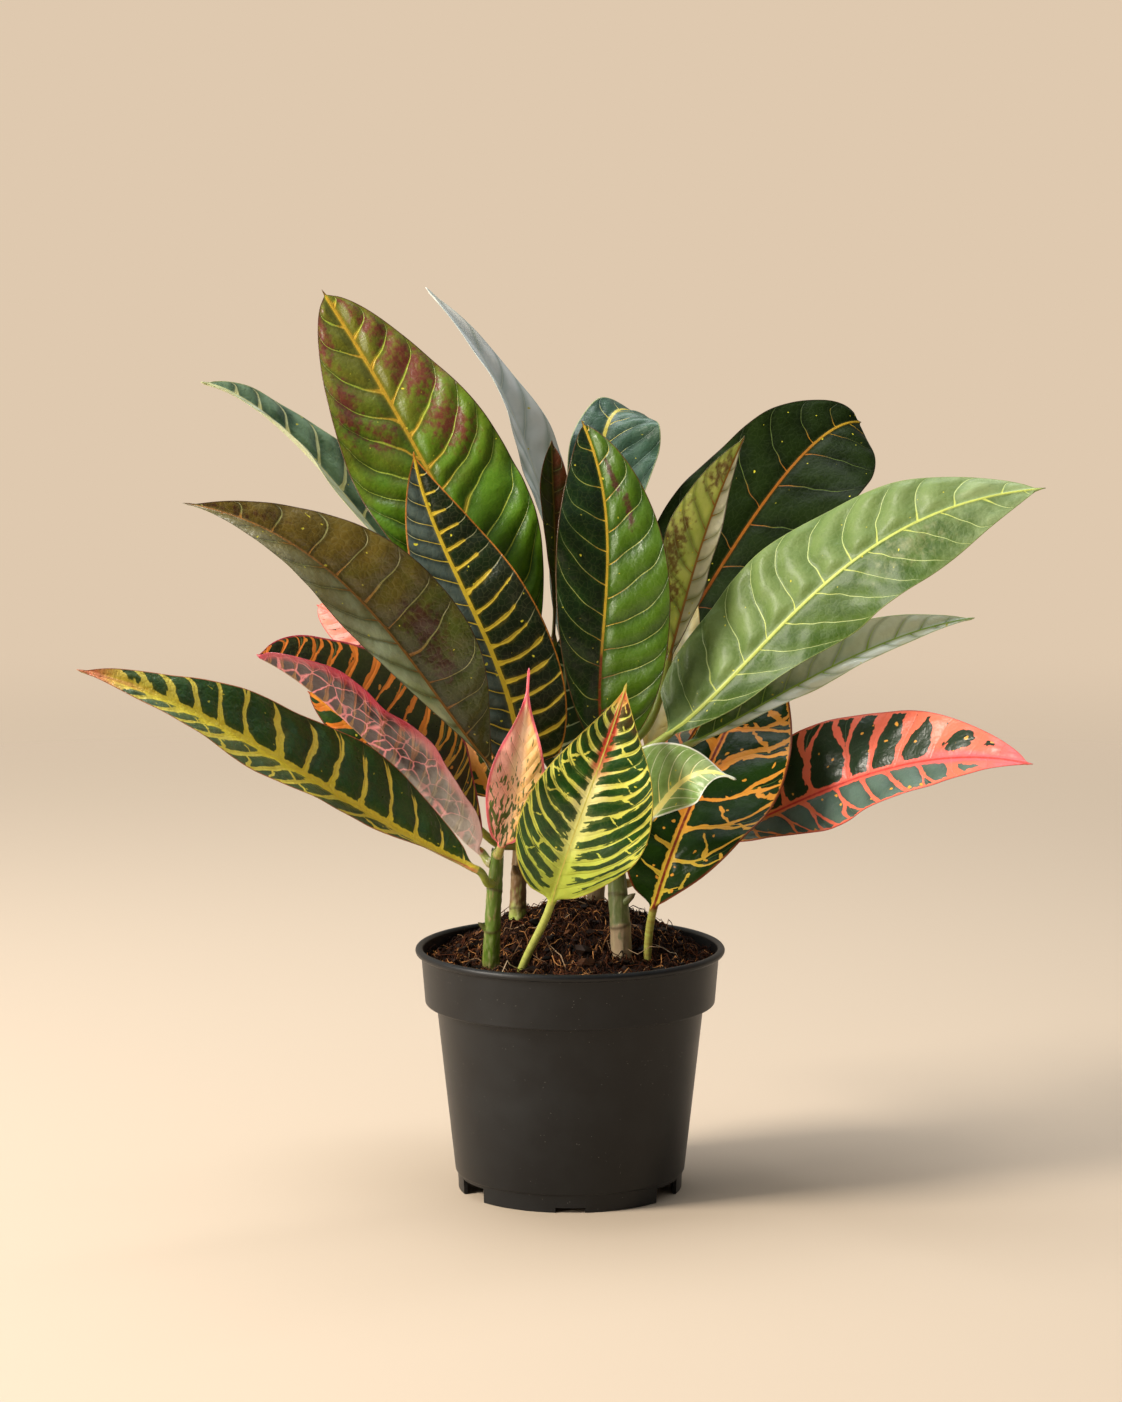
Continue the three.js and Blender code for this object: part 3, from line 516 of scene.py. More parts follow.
# %% The leaves on the right
draw_leaf(
    "folded_right", "olive", "right", 246, width=(29, 9), peak=(0.55, 0.45), full=(0.9, 0.9), fold=(30, 30),
    wave=2, face=[(0.3, -1, 0.2)],
    spine=[(54, 16, 291), (65, 14, 332), (77, 12, 371), (95, 14, 414)],
    laterals=10, slant=(0.7, 0.8), loop=6, quilt=(1.4, 0.8), ground="c9cf70", shade="a8b652",
    furrow="3c4c12", other=("right", "e4e1c4", "c3c49a"), line="c3c67a",
    blotch=[(0.5, -0.7, 0.2, 0.35, 0.9), (0.85, -0.4, 0.12, 0.5, 0.8), (0.3, -0.6, 0.08, 0.4, 0.9)],
    blotch_colour="6b3f1a", through=0.3, shine=0.3,
)
draw_leaf(
    "broad_back_right", "dark", "back", 256, width=(45, 46), peak=(0.38, 0.62), full=(0.6, 0.5),
    fold=(6, 6), face=[(-0.2, -0.85, 0.5)],
    spine=[(50, 44, 284), (85, 62, 339), (127, 90, 394), (166, 118, 415)],
    laterals=8, slant=(0.6, 0.35), quilt=(0.6, 0.8), ground="1d2b0b", shade="141f07", furrow="0c1206",
    vein="9a5a1c", vein_far="56682c", vein_base="6c3414", vein_tip="c29a2a", mid=(0.9, 0.6),
    lat=(0.2, 0.15), lines=0.6, spots=0.05, rim="2a1a0c", roughness=0.4, shine=0.04,
)
draw_leaf(
    "long_right", "silver", "right", 240, width=(43, 34), peak=(0.38, 0.64), full=(0.5, 0.8), fold=(-4, -6),
    face=[(-0.25, -0.8, 0.55)],
    spine=[(53, -10, 253), (107, -18, 307), (166, -34, 361), (251, -54, 391)],
    # Its sage upper half and pale tip are partly its own colour and partly painted sheen from the sky
    # above; the lower half's deep greens are its own.
    laterals=12, slant=(0.25, 1.1), bend=0.12, quilt=(2.2, 0.3), ground="6f8549", shade="597134",
    furrow="4f682c", ground_tip="93a574", tip_from=(0.7, 1.0), other=("right", "345208", "476413"),
    vein="b9c45c", vein_far="b0c07c", mid=(1.1, 0.5), reach=(0.9, 1.0), line="b3c288",
    blotch=[(0.72, 0.35, 0.14, 0.4, 0.6)], blotch_colour="6f7a48", spots=0.0, rim="7a8a4c", roughness=0.48,
    shine=0.25,
)
draw_leaf(
    "narrow_right", "silver", "right", 233, width=(20, 8), peak=(0.45, 0.5), full=(0.9, 0.9), fold=(10, 10),
    wave=1.5, face=[(-0.2, -0.8, 0.5)],
    spine=[(66, 0, 247), (112, -2, 273), (164, -4, 300), (220, 0, 316)],
    # Its pale tip and pale right half are partly its own silver-green and partly painted sheen.
    laterals=11, slant=(0.9, 0.9), ground="4c7030", shade="44662a", furrow="284816", ground_tip="d6e0cc",
    tip_from=(0.2, 0.7), other=("right", "e0e8d4", "c6d2b8"), vein="8fae44", vein_far="a3b878",
    mid=(0.6, 0.4), under="d2dcc4", through=0.5,
)
print("leaves so far:", len(leaves))

# %% The low leaves on the left
draw_leaf(
    "low_left", "green", "left", 176, width=(22, 35), peak=(0.6, 0.38), full=(1.3, 0.95), fold=(24, 6),
    wave=2.5, face=[(0, -0.72, 0.7)],
    spine=[(-50, -46, 185), (-117, -70, 226), (-186, -105, 273), (-252, -140, 305)],
    laterals=15, slant=(1.3, 0.2), bend=0.05, loop=3, ground="27500d", shade="193e0c", furrow="17330b",
    other=("left", "4f6a40", "3a5628"), vein="ffe53c", vein_far="f6e056", vein_tip="f08a58",
    tip_paint=(0.78, 0.94), mid=(2.6, 2.2), lat=(1.7, 1.1), bars=(1.7, 1), reach=(1.3, 1.0), grow=-1.0,
    fork=0.3, rungs=2.2, tilt=0.9, rung=0.5, rung_from=(0.3, 2), ragged=1.5, halo=0.05,
    flush=[(1, 0, 0.09, 2, 1.2), (0.88, 0.7, 0.06, 0.35, 0.7)], rim="c06a44", roughness=0.3, shine=0.6,
    uneven=2.5,
)
draw_leaf(
    "folded_left", "dark", "left", 186, width=(34, 42), peak=(0.45, 0.5), full=(0.8, 0.55), fold=(46, 68),
    wave=2, face=[(0, -0.1, 1)],
    spine=[(-48, -30, 192), (-86, -38, 232), (-126, -45, 273), (-167, -50, 302)],
    laterals=17, slant=(0.5, 0.15), bend=0, ground="181e09", shade="242e0e", furrow="101606", vein="dc9c34",
    vein_far="ea7f2c", vein_base="d0b23a", mid=(0.9, 0.9), lat=(1.1, 1.3), reach=(1.2, 1.2), fork=1.0,
    rungs=2.5, ragged=1.6, dashes=3, halo=0.0, spots=1.0, spot="e0913a", rim="b02a44", rim_width=1.0,
    under="3e2e31", under_shade="261a1e", under_vein="e4868c", under_net=0.42, under_rim=9,
    # The pale colour of its under side's base is a painted sheen.
    under_base="c6c0b8", roughness=0.3, shine=0.6,
)
draw_leaf(
    "patched_left", "orange", "middle", 188, width=(20, 24), peak=(0.5, 0.5), full=(0.9, 0.6), wave=2,
    face=[(0, -0.8, 0.6)],
    spine=[(-52, -14, 204), (-79, -4, 226), (-109, 4, 250), (-144, 14, 274)],
    laterals=9, vein_base="c9b43a", lat=(1.6, 1.2), ragged=2.0, spots=0.8,
)
draw_leaf(
    "coral_left", "coral", "middle", 226, width=(27, 20), peak=(0.5, 0.5), full=(0.9, 0.5), wave=2,
    face=[(0, -0.7, 0.7)],
    spine=[(-44, 34, 242), (-74, 52, 270), (-107, 70, 296), (-143, 85, 314)],
    vein="ee7a68", vein_far="f08c78", vein_base=None, flush=[(0.8, 0, 0.5, 2, 1.6)], spots=0.0,
)
draw_leaf(
    "veined_left", "coral", "middle", 200, width=(24, 24), peak=(0.5, 0.5), full=(0.8, 0.8), wave=2,
    face=[(0, -1, 0.3)],
    spine=[(-42, 18, 214), (-54, 19, 238), (-66, 22, 264), (-82, 27, 292)],
    laterals=7, ground="2f4614", vein="eeaa70", vein_far="e88a68", lat=(2.0, 1.4), ragged=1.6, spots=0.5,
)
print("leaves so far:", len(leaves))

# %% The leaves in front and low on the right
draw_leaf(
    "pink_front", "pink", "left", 192, width=(16, 15), peak=(0.4, 0.4), full=(0.7, 2.2), fold=(12, 12),
    wave=1.5, face=[(0.1, -1, 0.2)],
    spine=[(-37, -46, 198), (-30, -55, 227), (-25, -59, 259), (-22, -52, 295)],
    slant=(1.5, 1.5), vein="ffd0b0", vein_far="ffaa9c", flush=[(0.8, -0.3, 0.6, 1.2, 1.6)], rim="ee5c70",
    through=0.6, vein_right="fcc070",
)
draw_leaf(
    "front", "green", soil=(-31, -38), width=(31, 38), peak=(0.34, 0.4), full=(1, 1.2), wave=2.5,
    face=[(0.1, -1, 0.25)],
    spine=[(-10, -60, 170), (3, -74, 212), (17, -70, 250), (30, -52, 287)],
    laterals=15, slant=(0.45, 0.5), bend=0.4, loop=3, quilt=(0.5, 0.5), ground="1a3c0e", shade="285212",
    furrow="142e0a", ground_tip="5a2c16", tip_from=(0.7, 0.95), vein="efe79a", vein_far="dcd85c",
    vein_base="b4c446", vein_tip="c23c28", tip_paint=(0.5, 0.7), mid=(3.0, 1.3), lat=(1.1, 0.75),
    reach=(1.25, 1.25), fork=0.5, rungs=2.5, rung=0.4, rung_from=(0.4, 0.4), hem=0.5, core="cfc45a",
    core_width=0.5, ragged=2.4, dashes=4, halo=0.1,
    flush=[(0.1, 0.8, 0.16, 0.6, 1.4), (1.02, 0, 0.06, 2, 0.8), (0.04, -0.6, 0.1, 0.5, 1)], spots=0.2,
    rim="b39a34", stalk="b4bb5c",
)
draw_leaf(
    "curled_front", "silver", "right", 208, width=(30, 16), peak=(0.3, 0.55), full=(0.8, 1.9),
    fold=(10, 10), wave=1.5, waves=2, face=[(-0.3, -0.9, 0.3), (0.2, -0.8, 0.6)],
    spine=[(43, -46, 213), (54, -56, 229), (68, -62, 240), (88, -66, 237)],
    laterals=7, slant=(1.3, 1.3), quilt=(0.4, 0.3), ground="6e8f40", shade="98b468", furrow="4c6c24",
    ground_tip="b9c69c", tip_from=(0.5, 1.0), vein="fff08c", vein_far="cdd6a4", mid=(1.9, 0.8),
    lat=(0.4, 0.3), line="c6d2a0", rim="e6e8d4", rim_width=0.9, under="bcc8a8", through=0.3, shine=0.5,
)
draw_leaf(
    "orange_right", "orange", soil=(42, -20), width=(25, 46), peak=(0.3, 0.54), full=(1, 0.7), wave=2.5,
    face=[(-0.25, -0.9, 0.4)],
    spine=[(45, -28, 160), (60, -24, 204), (83, 18, 246), (113, 50, 298)],
    laterals=8, slant=(0.45, 0.3), bend=0.1, ground="1c350b", shade="152909", furrow="0e1b06",
    vein="ea8f30", vein_far="e69a38", vein_base="c8b03c", mid=(2.6, 1.8), lat=(1.7, 1.9), reach=(0.8, 1.3),
    grow=-1.3, fork=0.9, rungs=2.2, tilt=0.9, rung=1.3, rung_from=(0.6, 0.4), hem=1.3, core="7a2a18",
    core_width=1.1, ragged=1.6, dashes=1.6, spots=1.0, spot="e09a34", rim="66201c", rim_width=1.1,
    stalk="b4bb5c", shine=0.08,
)
draw_leaf(
    "coral_right", "coral", "right", 172, width=(39, 27), peak=(0.5, 0.54), full=(1.6, 0.8), fold=(6, 10),
    wave=2.5, face=[(-0.1, -0.8, 0.6)],
    spine=[(60, 16, 184), (118, 16, 209), (178, -22, 238), (243, -84, 248)],
    laterals=12, slant=(0.15, 0.8), bend=0.05, loop=2, ground="1b2c18", shade="20361f",
    other=("right", "5c7266", "44584c"), vein="ee6450", vein_far="ee7258", vein_tip="ee6468",
    tip_paint=(0.6, 0.85), lat=(2.0, 2.3), bars=(1, 0.7), reach=(1.4, 1.1), hem=1.2, core="cc3c34",
    core_width=0.9, ragged=1.8, flush=[(0.98, -0.3, 0.16, 1.6, 1.6), (0.8, -0.9, 0.12, 0.35, 0.9)],
    spots=1.25, spot="e8a23e",
)
draw_leaf(
    "cream_right", "cream", "right", 214, width=(18, 18), peak=(0.5, 0.5), full=(0.9, 0.9), wave=1.5,
    face=[(0.2, -1, 0.2)],
    spine=[(42, 16, 240), (50, 20, 270), (58, 24, 294), (71, 30, 324)],
    ground="b0b868", vein="fff4d4", vein_far="f7e0a8", blotch=[(0.5, 0.3, 0.2, 0.5, 0.6)], spots=1.0,
    through=0.8,
)
draw_leaf(
    "light_veined", "dark", "middle", 212, width=(18, 18), full=(0.9, 0.9), wave=1.5, waves=2,
    face=[(0, -1, 0.2)],
    spine=[(-8, 2, 228), (-5, 4, 256), (-3, 8, 281), (-4, 12, 308)],
    laterals=8, ground="2a4020", shade="3c5434", vein="c9cc92", vein_far="b3be94", mid=(1.1, 0.5),
    lat=(0.4, 0.3), reach=(0.95, 0.95), flush=[(0.05, 0.6, 0.2, 0.8, 0.9)],
)
print("leaves so far:", len(leaves))

# %% The leaves at the back
draw_leaf(
    "back_low_left", "green", "back", 196, width=(36, 36), face=[(-0.3, 0.4, 1)],
    spine=[(0, 66, 202), (-34, 92, 216), (-80, 115, 226), (-126, 128, 222)],
    ground="2f5610", vein="d9c02c", mid=(2.2, 1.5), lat=(1.4, 0.6),
)
draw_leaf(
    "back_low_right", "orange", "back", 204, width=(34, 34), phase=1, face=[(0.3, 0.4, 1)],
    spine=[(44, 62, 212), (70, 88, 230), (98, 112, 242), (126, 130, 240)],
    flush=[(1, 0, 0.15, 2, 1)],
)
draw_leaf(
    "back_middle", "coral", "back", 220, width=(29, 31), phase=2, face=[(0, 0.5, 1)],
    spine=[(28, 66, 234), (26, 92, 260), (18, 118, 281), (8, 138, 288)],
    laterals=9, flush=[(1, 0, 0.2, 2, 1)],
)
draw_leaf(
    "back_left", "dark", "back", 240, width=(37, 37), face=[(-0.3, 0.4, 1)],
    spine=[(-8, 54, 264), (-36, 80, 304), (-74, 104, 340), (-118, 122, 360)],
    fork=0.4,
)
draw_leaf(
    "back_right", "green", "back", 244, width=(34, 34), phase=1, face=[(0.2, 0.5, 1)],
    spine=[(50, 60, 262), (72, 86, 296), (98, 112, 322), (124, 134, 330)],
    blotch=[(0.7, 0.5, 0.2, 0.5, 0.9)],
)
draw_leaf(
    "back_high", "olive", "back", 262, width=(30, 30), phase=2, face=[(0, 0.5, 1)],
    spine=[(28, 60, 282), (32, 86, 318), (36, 112, 346), (36, 134, 356)],
    laterals=10,
)
draw_leaf(
    "back_side_left", "orange", "middle", 214, width=(28, 28), phase=1, face=[(-0.3, 0.3, 1)],
    spine=[(-46, 46, 227), (-80, 74, 251), (-112, 100, 270), (-146, 120, 280)],
    laterals=10, rung=0.5,
)
draw_leaf(
    "back_side_right", "bluegreen", "back", 230, width=(28, 28), face=[(0.2, 0.3, 1)],
    spine=[(58, 48, 254), (90, 68, 286), (120, 86, 314), (152, 104, 334)],
)
print("leaves so far:", len(leaves))

# %% [markdown]
# Every leaf starts from a plain look, then takes its finish's look, and then its own. Finish
# and leaf name only what they change, so that three short tables say what 32 long ones would.

# %% The looks
# A pair is (left half, right half), seen from the base towards the tip; for mid it is (base,
# tip) and for lat (midrib, margin). Distances are in millimetres, and what is called a share
# or a place is counted from 0 at the base or the midrib to 1 at the tip or the margin.
plain_look = dict(
    laterals=13,  # side veins on each half
    slant=(0.45, 0.45),  # how far a side vein runs forward for each millimetre outwards
    bend=0.15,  # how much more it turns forward towards the margin
    loop=5,  # and how far it runs forward along the margin itself
    quilt=(0.9, 0.9),  # height of the swelling between two side veins
    # The third of these colours is painted shade, laid in the furrows along the side veins.
    ground="47660c", shade="2f4c0a", furrow="1d3306", ground_tip=None,
    tip_from=(0.4, 0.85),  # where the tip's ground colour begins and is full; on some leaves it is a painted sheen
    other=None,  # the half that has two ground colours; on some leaves they are a painted sheen, on the centre leaf painted shade
    vein="cdb52e", vein_far="b9a82e", vein_base=None,  # the paint: near, far out, at the base
    vein_tip=None, tip_paint=(0.62, 0.95),  # at the tip, and where that begins and is full
    vein_right=None,  # on the right half
    mid=(1.2, 0.7), lat=(0.7, 0.4), bars=(1, 1),  # half width of the paint on the veins
    reach=(0.8, 0.8),  # how far out it goes on the side veins, as a share of the half
    grow=0.0,  # how much longer and wider the side veins' paint is at the base than at the tip
    fork=0.0,  # how far the side veins part into two towards the margin
    rungs=3, tilt=0.5,  # cross veins between two side veins, and how they slope
    rung=0.0, rung_from=(0, 0),  # their half width of colour, and the share they start at
    hem=0.0,  # half width of the colour along the margin
    core=None, core_width=0.6,  # another colour along the middle of the midrib
    ragged=0.8, dashes=1.5,  # how rough the paint's edges are, and how broken along the veins
    flecks=0.0,  # the strength of the flecks of ground in the paint
    halo=0.12,  # and of the faint paint round it
    groove=0.35,  # how strong the painted shade in the furrows along the side veins is, and the painted light on the swells between them
    line="93a04c", lines=1.0,  # the thin side veins and their strength
    flush=[], blotch=[],  # ovals of fuller paint and of brown: t, s, length, width, strength
    blotch_colour="5a2c1c",
    spots=0.1, spot="d9cf3c",  # how many round specks, and their colour
    rim="6b5a24", rim_width=0.45,
    under="5c6a34", under_shade=None, under_vein="a3a85c", under_net=0.0,
    under_rim=0.0, under_base=None,  # a coloured band at the margin, and a painted sheen towards the base
    through=0.05,  # how much light goes through the blade
    stalk="8f9c3c", roughness=0.33, shine=0.35, uneven=1.0,
)
finish_looks = {
    "green": {},
    "dark": dict(
        quilt=(0.6, 0.6), ground="1c240e", shade="182c0e", furrow="0e160a", vein="c9a72c",
        vein_far="b99a2c", line="65744a", under="2d3818", roughness=0.32, shine=0.3,
    ),
    "bluegreen": dict(
        ground="3c5a40", shade="2f4f34", furrow="20382a", vein="dcd893", vein_far="cdd09a", mid=(1.0, 0.7),
        lat=(0.8, 0.5), reach=(0.9, 0.9), line="b3bf9a", rim="9aa068", under="7f8c66", under_vein="d3d49c",
        shine=0.5,
    ),
    "olive": dict(
        ground="5c5216", shade="433f10", furrow="28240a", vein="a8742c", vein_far="7c7c3c", mid=(0.8, 0.5),
        lat=(0.25, 0.15), line="b0b078", blotch_colour="3f1a12", rim="452a18", under="6c7240",
    ),
    "silver": dict(
        ground="8fa26a", shade="7b9254", furrow="647e40", vein="ccd07c", vein_far="c0cc98", mid=(0.9, 0.5),
        lat=(0.3, 0.2), line="c6d09c", rim="aab880", under="9cab80", roughness=0.4, shine=0.4,
    ),
    "coral": dict(
        ground="1f3020", shade="243a28", furrow="141f12", vein="e4684c", vein_far="e67a5e",
        vein_base="e09a40", mid=(2.2, 2.0), lat=(1.4, 1.9), reach=(1.35, 1.2), fork=1.0, halo=0.0,
        line="51684c", rim="b8443a", under="80564a", under_vein="d47c68",
    ),
    "pink": dict(
        laterals=11, ground="3f5a18", shade="66741e", vein="f2bc74", vein_far="ef9a88", mid=(3.0, 2.0),
        lat=(1.6, 1.6), reach=(1.3, 1.3), rung=0.6, ragged=1.4, flecks=0.95,
        flush=[(0.75, -0.2, 0.5, 1.5, 0.9)], spots=0.6, rim="df6670", rim_width=1.4, under="d99a84",
        under_vein="eab090",
    ),
    "cream": dict(
        ground="6e7a1c", shade="4a5c12", vein="efdca0", vein_far="e9cc92", mid=(3.0, 2.0), lat=(2.6, 2.0),
        reach=(1.3, 1.3), ragged=1.6, halo=0.4, flush=[(0.55, 0, 0.6, 2, 0.8)], spots=0.9, spot="2a2a10",
        rim="d0ac6a", under="c9ba84",
    ),
    "orange": dict(
        ground="26400e", shade="1c320e", furrow="111f08", vein="dc8a2c", vein_far="d4741f", mid=(1.9, 1.3),
        lat=(1.1, 0.9), reach=(1.1, 1.1), fork=0.8, halo=0.0, line="58702c", rim="7a2a20", under="56502c",
        under_vein="b97a40", shine=0.3,
    ),
}


def look_of(leaf):
    """The leaf's look: the plain one, changed by its finish and then by its own row."""
    return {**plain_look, **finish_looks[leaf["finish"]], **leaf["look"]}


print("leaves:", len(leaves), "in", len(finish_looks), "finishes")

# %% [markdown]
# ## How a blade is bent and veined
# The blade is worked out in two shares: t runs along the midrib and s across, from the left
# margin to the right. The veins need no drawing. Every side vein leaves the midrib, runs
# outwards and bends forward; so the number "t minus that forward run, times the number of
# veins" has a whole value on each vein. The relief uses that number here, and the finish
# reads it again, so colour and relief always agree.

# %% Blade formulas
BLADE_THICKNESS, MARGIN_THICKNESS = 0.6, 0.35
KEEL = (2.0, 0.8)  # the midrib's depth below the blade, at the base and the tip
TIP_HALF_WIDTH = 0.7
TIP_END = 0.2  # what is left of the tip's width and thickness at its very end
DRIP_TIP = 0.985  # the share of the midrib at which the narrow end of the blade begins
WAVES_APART = 2  # radians by which the waves of the two margins differ
BLADE_STARTS = 0.05  # the share of the midrib over which the round stalk becomes a blade


def spine_point(spine, t):
    """The cubic through four points that stand at 0, 1/3, 2/3 and 1 of its length."""
    a, b, c = t - 1 / 3, t - 2 / 3, t - 1
    weights = np.stack([-4.5 * a * b * c, 13.5 * t * b * c, -13.5 * t * a * c, 4.5 * t * a * b], -1)
    return weights @ np.array(spine, float)


def midrib_length(spine, steps=50):
    """The sum of the distances between points along the midrib."""
    points = spine_point(spine, np.linspace(0, 1, steps))
    return np.linalg.norm(np.diff(points, axis=0), axis=1).sum()


def point(t):
    """How thick the drip tip still is: 1 up to its start, and less and less to its end."""
    return 1 - (1 - TIP_END) * smooth(DRIP_TIP, 1, t)


def half_width(leaf, t, half):
    """width * sin(pi * t^skew)^power, where the skew puts the widest place at the peak and
    the power runs from the base's fullness to the tip's. The last bit is a narrow drip tip
    that runs out to a point."""
    skew = math.log(0.5) / math.log(leaf["peak"][half])
    power = lerp(leaf["full"][0], leaf["full"][1], t)
    bulge = np.clip(np.sin(np.pi * np.clip(t / DRIP_TIP, 0, 1) ** skew), 0, 1) ** power
    return np.maximum(leaf["width"][half] * bulge, TIP_HALF_WIDTH * point(t))


def patches(t, s, spots):
    """Soft oval patches (t, s, length, width, strength): the strongest at each point counts."""
    total = np.zeros(np.broadcast(t, s).shape)
    for at, across, length, width, strength in spots:
        oval = strength * np.exp(-(((t - at) / length) ** 2) - ((s - across) / width) ** 2)
        total = np.maximum(total, oval)
    return total


# %% The blade's two sides
def blade(leaf, look, t, s, seed):
    """The blade's upper and under side at each (t, s), and the numbers that its finish reads.

    A point is spine + across * reach * cos(fold) + up * (reach * sin(fold) + wave + relief).
    The relief swells as a power of sin^2 between two side veins, is dimpled at random, has a
    fine ridge on the midrib in a shallow trough, and is a little uneven at the margin."""
    along = unit(spine_point(leaf["spine"], t + 0.01) - spine_point(leaf["spine"], t - 0.01))
    look_from, look_to = (np.array(leaf["face"][k], float) for k in (0, -1))
    up = square_to(along, lerp(look_from, look_to, t[:, None]))
    across = np.cross(along, up)
    t, s = t[:, None], s[None, :]
    right, share = s > 0, np.abs(s)
    half = lambda pair: np.where(right, pair[1], pair[0])
    widest = half([half_width(leaf, t, 0), half_width(leaf, t, 1)])
    reach = widest * share
    fold = np.radians(half(leaf["fold"]))
    swing = 2 * np.pi * leaf["waves"] * t + leaf["phase"] + right * WAVES_APART
    wave = leaf["wave"] * np.sin(np.pi * t) * s * s * np.sin(swing)

    length = midrib_length(leaf["spine"], 60)
    place, offset = t * length, reach * np.sign(s)
    forward = half(look["slant"]) * reach + look["bend"] * reach * share**2 + look["loop"] * share**7
    drift = 0.13 * ripple(place, offset, 55, seed + 1) + 0.02 * ripple(place, reach, 14, seed + 3)
    vein = look["laterals"] * (t - forward / length) + 0.4 * right + drift
    inside = smooth(1, 7, reach) * smooth(0, 5, widest - reach) * smooth(0.02, 0.15, t)
    swell = half(look["quilt"]) * (np.sin(np.pi * vein) ** 2) ** 0.7 * inside
    dimples = 0.22 * ripple(place, offset, 17, seed + 2) * inside
    ridge = 0.5 * np.exp(-((reach / 0.9) ** 2)) - 0.5 * np.exp(-((reach / 3.0) ** 2))
    margins = ripple(place, 9 * np.sign(s) + 0 * reach, 24, seed + 4)
    fringe = 0.4 * share**4 * margins * np.sin(np.pi * t)
    lift = reach * np.sin(fold) + wave + swell + dimples + ridge + fringe
    out = offset * np.cos(fold)
    top = (
        spine_point(leaf["spine"], t[:, 0])[:, None]
        + across[:, None] * out[..., None]
        + up[:, None] * lift[..., None]
    )
    thick = lerp(BLADE_THICKNESS, MARGIN_THICKNESS, share**4)
    keel = lerp(KEEL[0], KEEL[1], t) * np.exp(-((reach / 1.7) ** 2))
    under = top - up[:, None] * (thick + keel)[..., None] * point(t)[..., None]
    fields = {
        "vein": triple(vein, share, t),
        "blade": triple(place, offset, widest - reach),
        "tone": triple(patches(t, s, look["flush"]), patches(t, s, look["blotch"])),
    }
    return top, under, fields


# %% [markdown]
# The stalk is a bar from the stem, or from the soil, that leaves it squarely and runs into
# the midrib, and it is a little swollen where it grows from its stem. Its last rings turn
# into the blade's: over the first twentieth of the midrib each ring is a mix of the two.

# %% Leaf builder
STALK_RADIUS = 2.2
STALK_STEPS = 22
STALK_SET_OUT = 0.4  # how far its curve keeps its first and last heading, as shares of its span
STALK_RUN_IN = 0.35
STALK_SUNK = 1  # how far its first ring lies inside the stem's surface
STALK_SWELLS = 0.35  # how much thicker it is where it grows from its stem
SWELL_LENGTH = 3.5  # and over how many millimetres
SOIL_STALK_DEPTH = 24  # how far a leaf's own stalk stands in the soil
COLUMN_WIDTH, ROW_LENGTH = 1.7, 1.5  # the mesh's steps across and along a blade
TOWARDS_MIDRIB = 1.15  # the power that draws the columns closer together there
NEAR_MARGIN = 0.985  # and the columns next to the margin


def stalk_line(leaf):
    """The stalk's middle line and span: a cubic Bezier curve, which is the mean of its four
    corners with the weights (1-u)^3, 3u(1-u)^2, 3u^2(1-u) and u^3."""
    base = np.array(leaf["spine"][0], float)
    if leaf["soil"]:
        x, y = leaf["soil"]
        start = np.array([x, y, soil_height(x, y) - SOIL_STALK_DEPTH])
        out = np.array([0.0, 0, 1])
    else:
        line, radii = stem_lines[leaf["stem"]]
        at = int(np.argmin(np.abs(line[:, 2] - leaf["height"])))
        along = unit(line[min(at + 1, len(line) - 1)] - line[at - 1])
        out = square_to(along, base - line[at])
        start = line[at] + out * (radii[at] - STALK_SUNK)
    before, after = spine_point(leaf["spine"], np.array([-0.01, 0.01]))
    into = unit(after - before)
    span = np.linalg.norm(base - start)
    corners = [start, start + out * STALK_SET_OUT * span, base - into * STALK_RUN_IN * span, base]
    u = np.linspace(0, 1, STALK_STEPS, endpoint=False)[:, None]
    weights = [(1 - u) ** 3, 3 * u * (1 - u) ** 2, 3 * u * u * (1 - u), u**3]
    return sum(w * c for w, c in zip(weights, corners)), span


def make_leaf(name, leaf, look, material, seed):
    """One closed skin over the stalk's rings and the blade's rings, which go along the upper
    side and back along the under side. Nearer the midrib the columns are closer together."""
    columns = int(np.clip(sum(leaf["width"]) / COLUMN_WIDTH, 18, 48)) | 1
    rows = int(np.clip(midrib_length(leaf["spine"]) / ROW_LENGTH, 60, 170))
    u = np.linspace(-1, 1, columns)
    s = np.sign(u) * np.abs(u) ** TOWARDS_MIDRIB
    s[1], s[-2] = -NEAR_MARGIN, NEAR_MARGIN
    t = np.linspace(0, 1, rows)
    top, under, fields = blade(leaf, look, t, s, seed)
    rings = np.concatenate([top, under[:, ::-1]], 1)
    fields = {key: np.concatenate([value, value[:, ::-1]], 1) for key, value in fields.items()}
    fields["tone"][:, columns:, 2] = 1  # the under side

    line, span = stalk_line(leaf)
    from_stem = np.linspace(0, 1, len(line), endpoint=False) * span
    swells = 0 if leaf["soil"] else STALK_SWELLS
    swollen = 1 + swells * np.exp(-((from_stem / SWELL_LENGTH) ** 2))
    face = np.array(leaf["face"][0], float)
    whole = np.concatenate([line, spine_point(leaf["spine"], t)])
    radii = STALK_RADIUS * np.concatenate([swollen, np.ones(rows)])
    tube = round_rings(whole, face, radii, 2 * columns)
    mix = smooth(0, BLADE_STARTS, t)[:, None, None]
    rings = np.concatenate([tube[: len(line)], lerp(tube[len(line) :], rings, mix)])
    stalk_fields = {key: np.repeat(value[:1], len(line), 0) for key, value in fields.items()}
    stalk_fields["vein"][..., 2] = (np.arange(len(line)) / len(line) - 1)[:, None]
    stalk_fields["blade"][..., 0] = (from_stem - span)[:, None]
    fields = {key: np.concatenate([stalk_fields[key], fields[key]]) for key in fields}
    return make_object(name, [tube_skin(rings, fields)], material)


# %% [markdown]
# ## The leaves' finish
# The colour of a croton leaf sits on its veins: a broad band on the midrib, bars on the side
# veins that taper or fork towards the margin, and on some leaves the net between them. Each
# of these is a distance divided by a half width, so it is 1 at the edge of the colour. The
# smallest of them, rounded where two meet and roughened by noise, says where the colour is.
# The green ground, brown blotches, round specks and the margin's line are laid the same way.

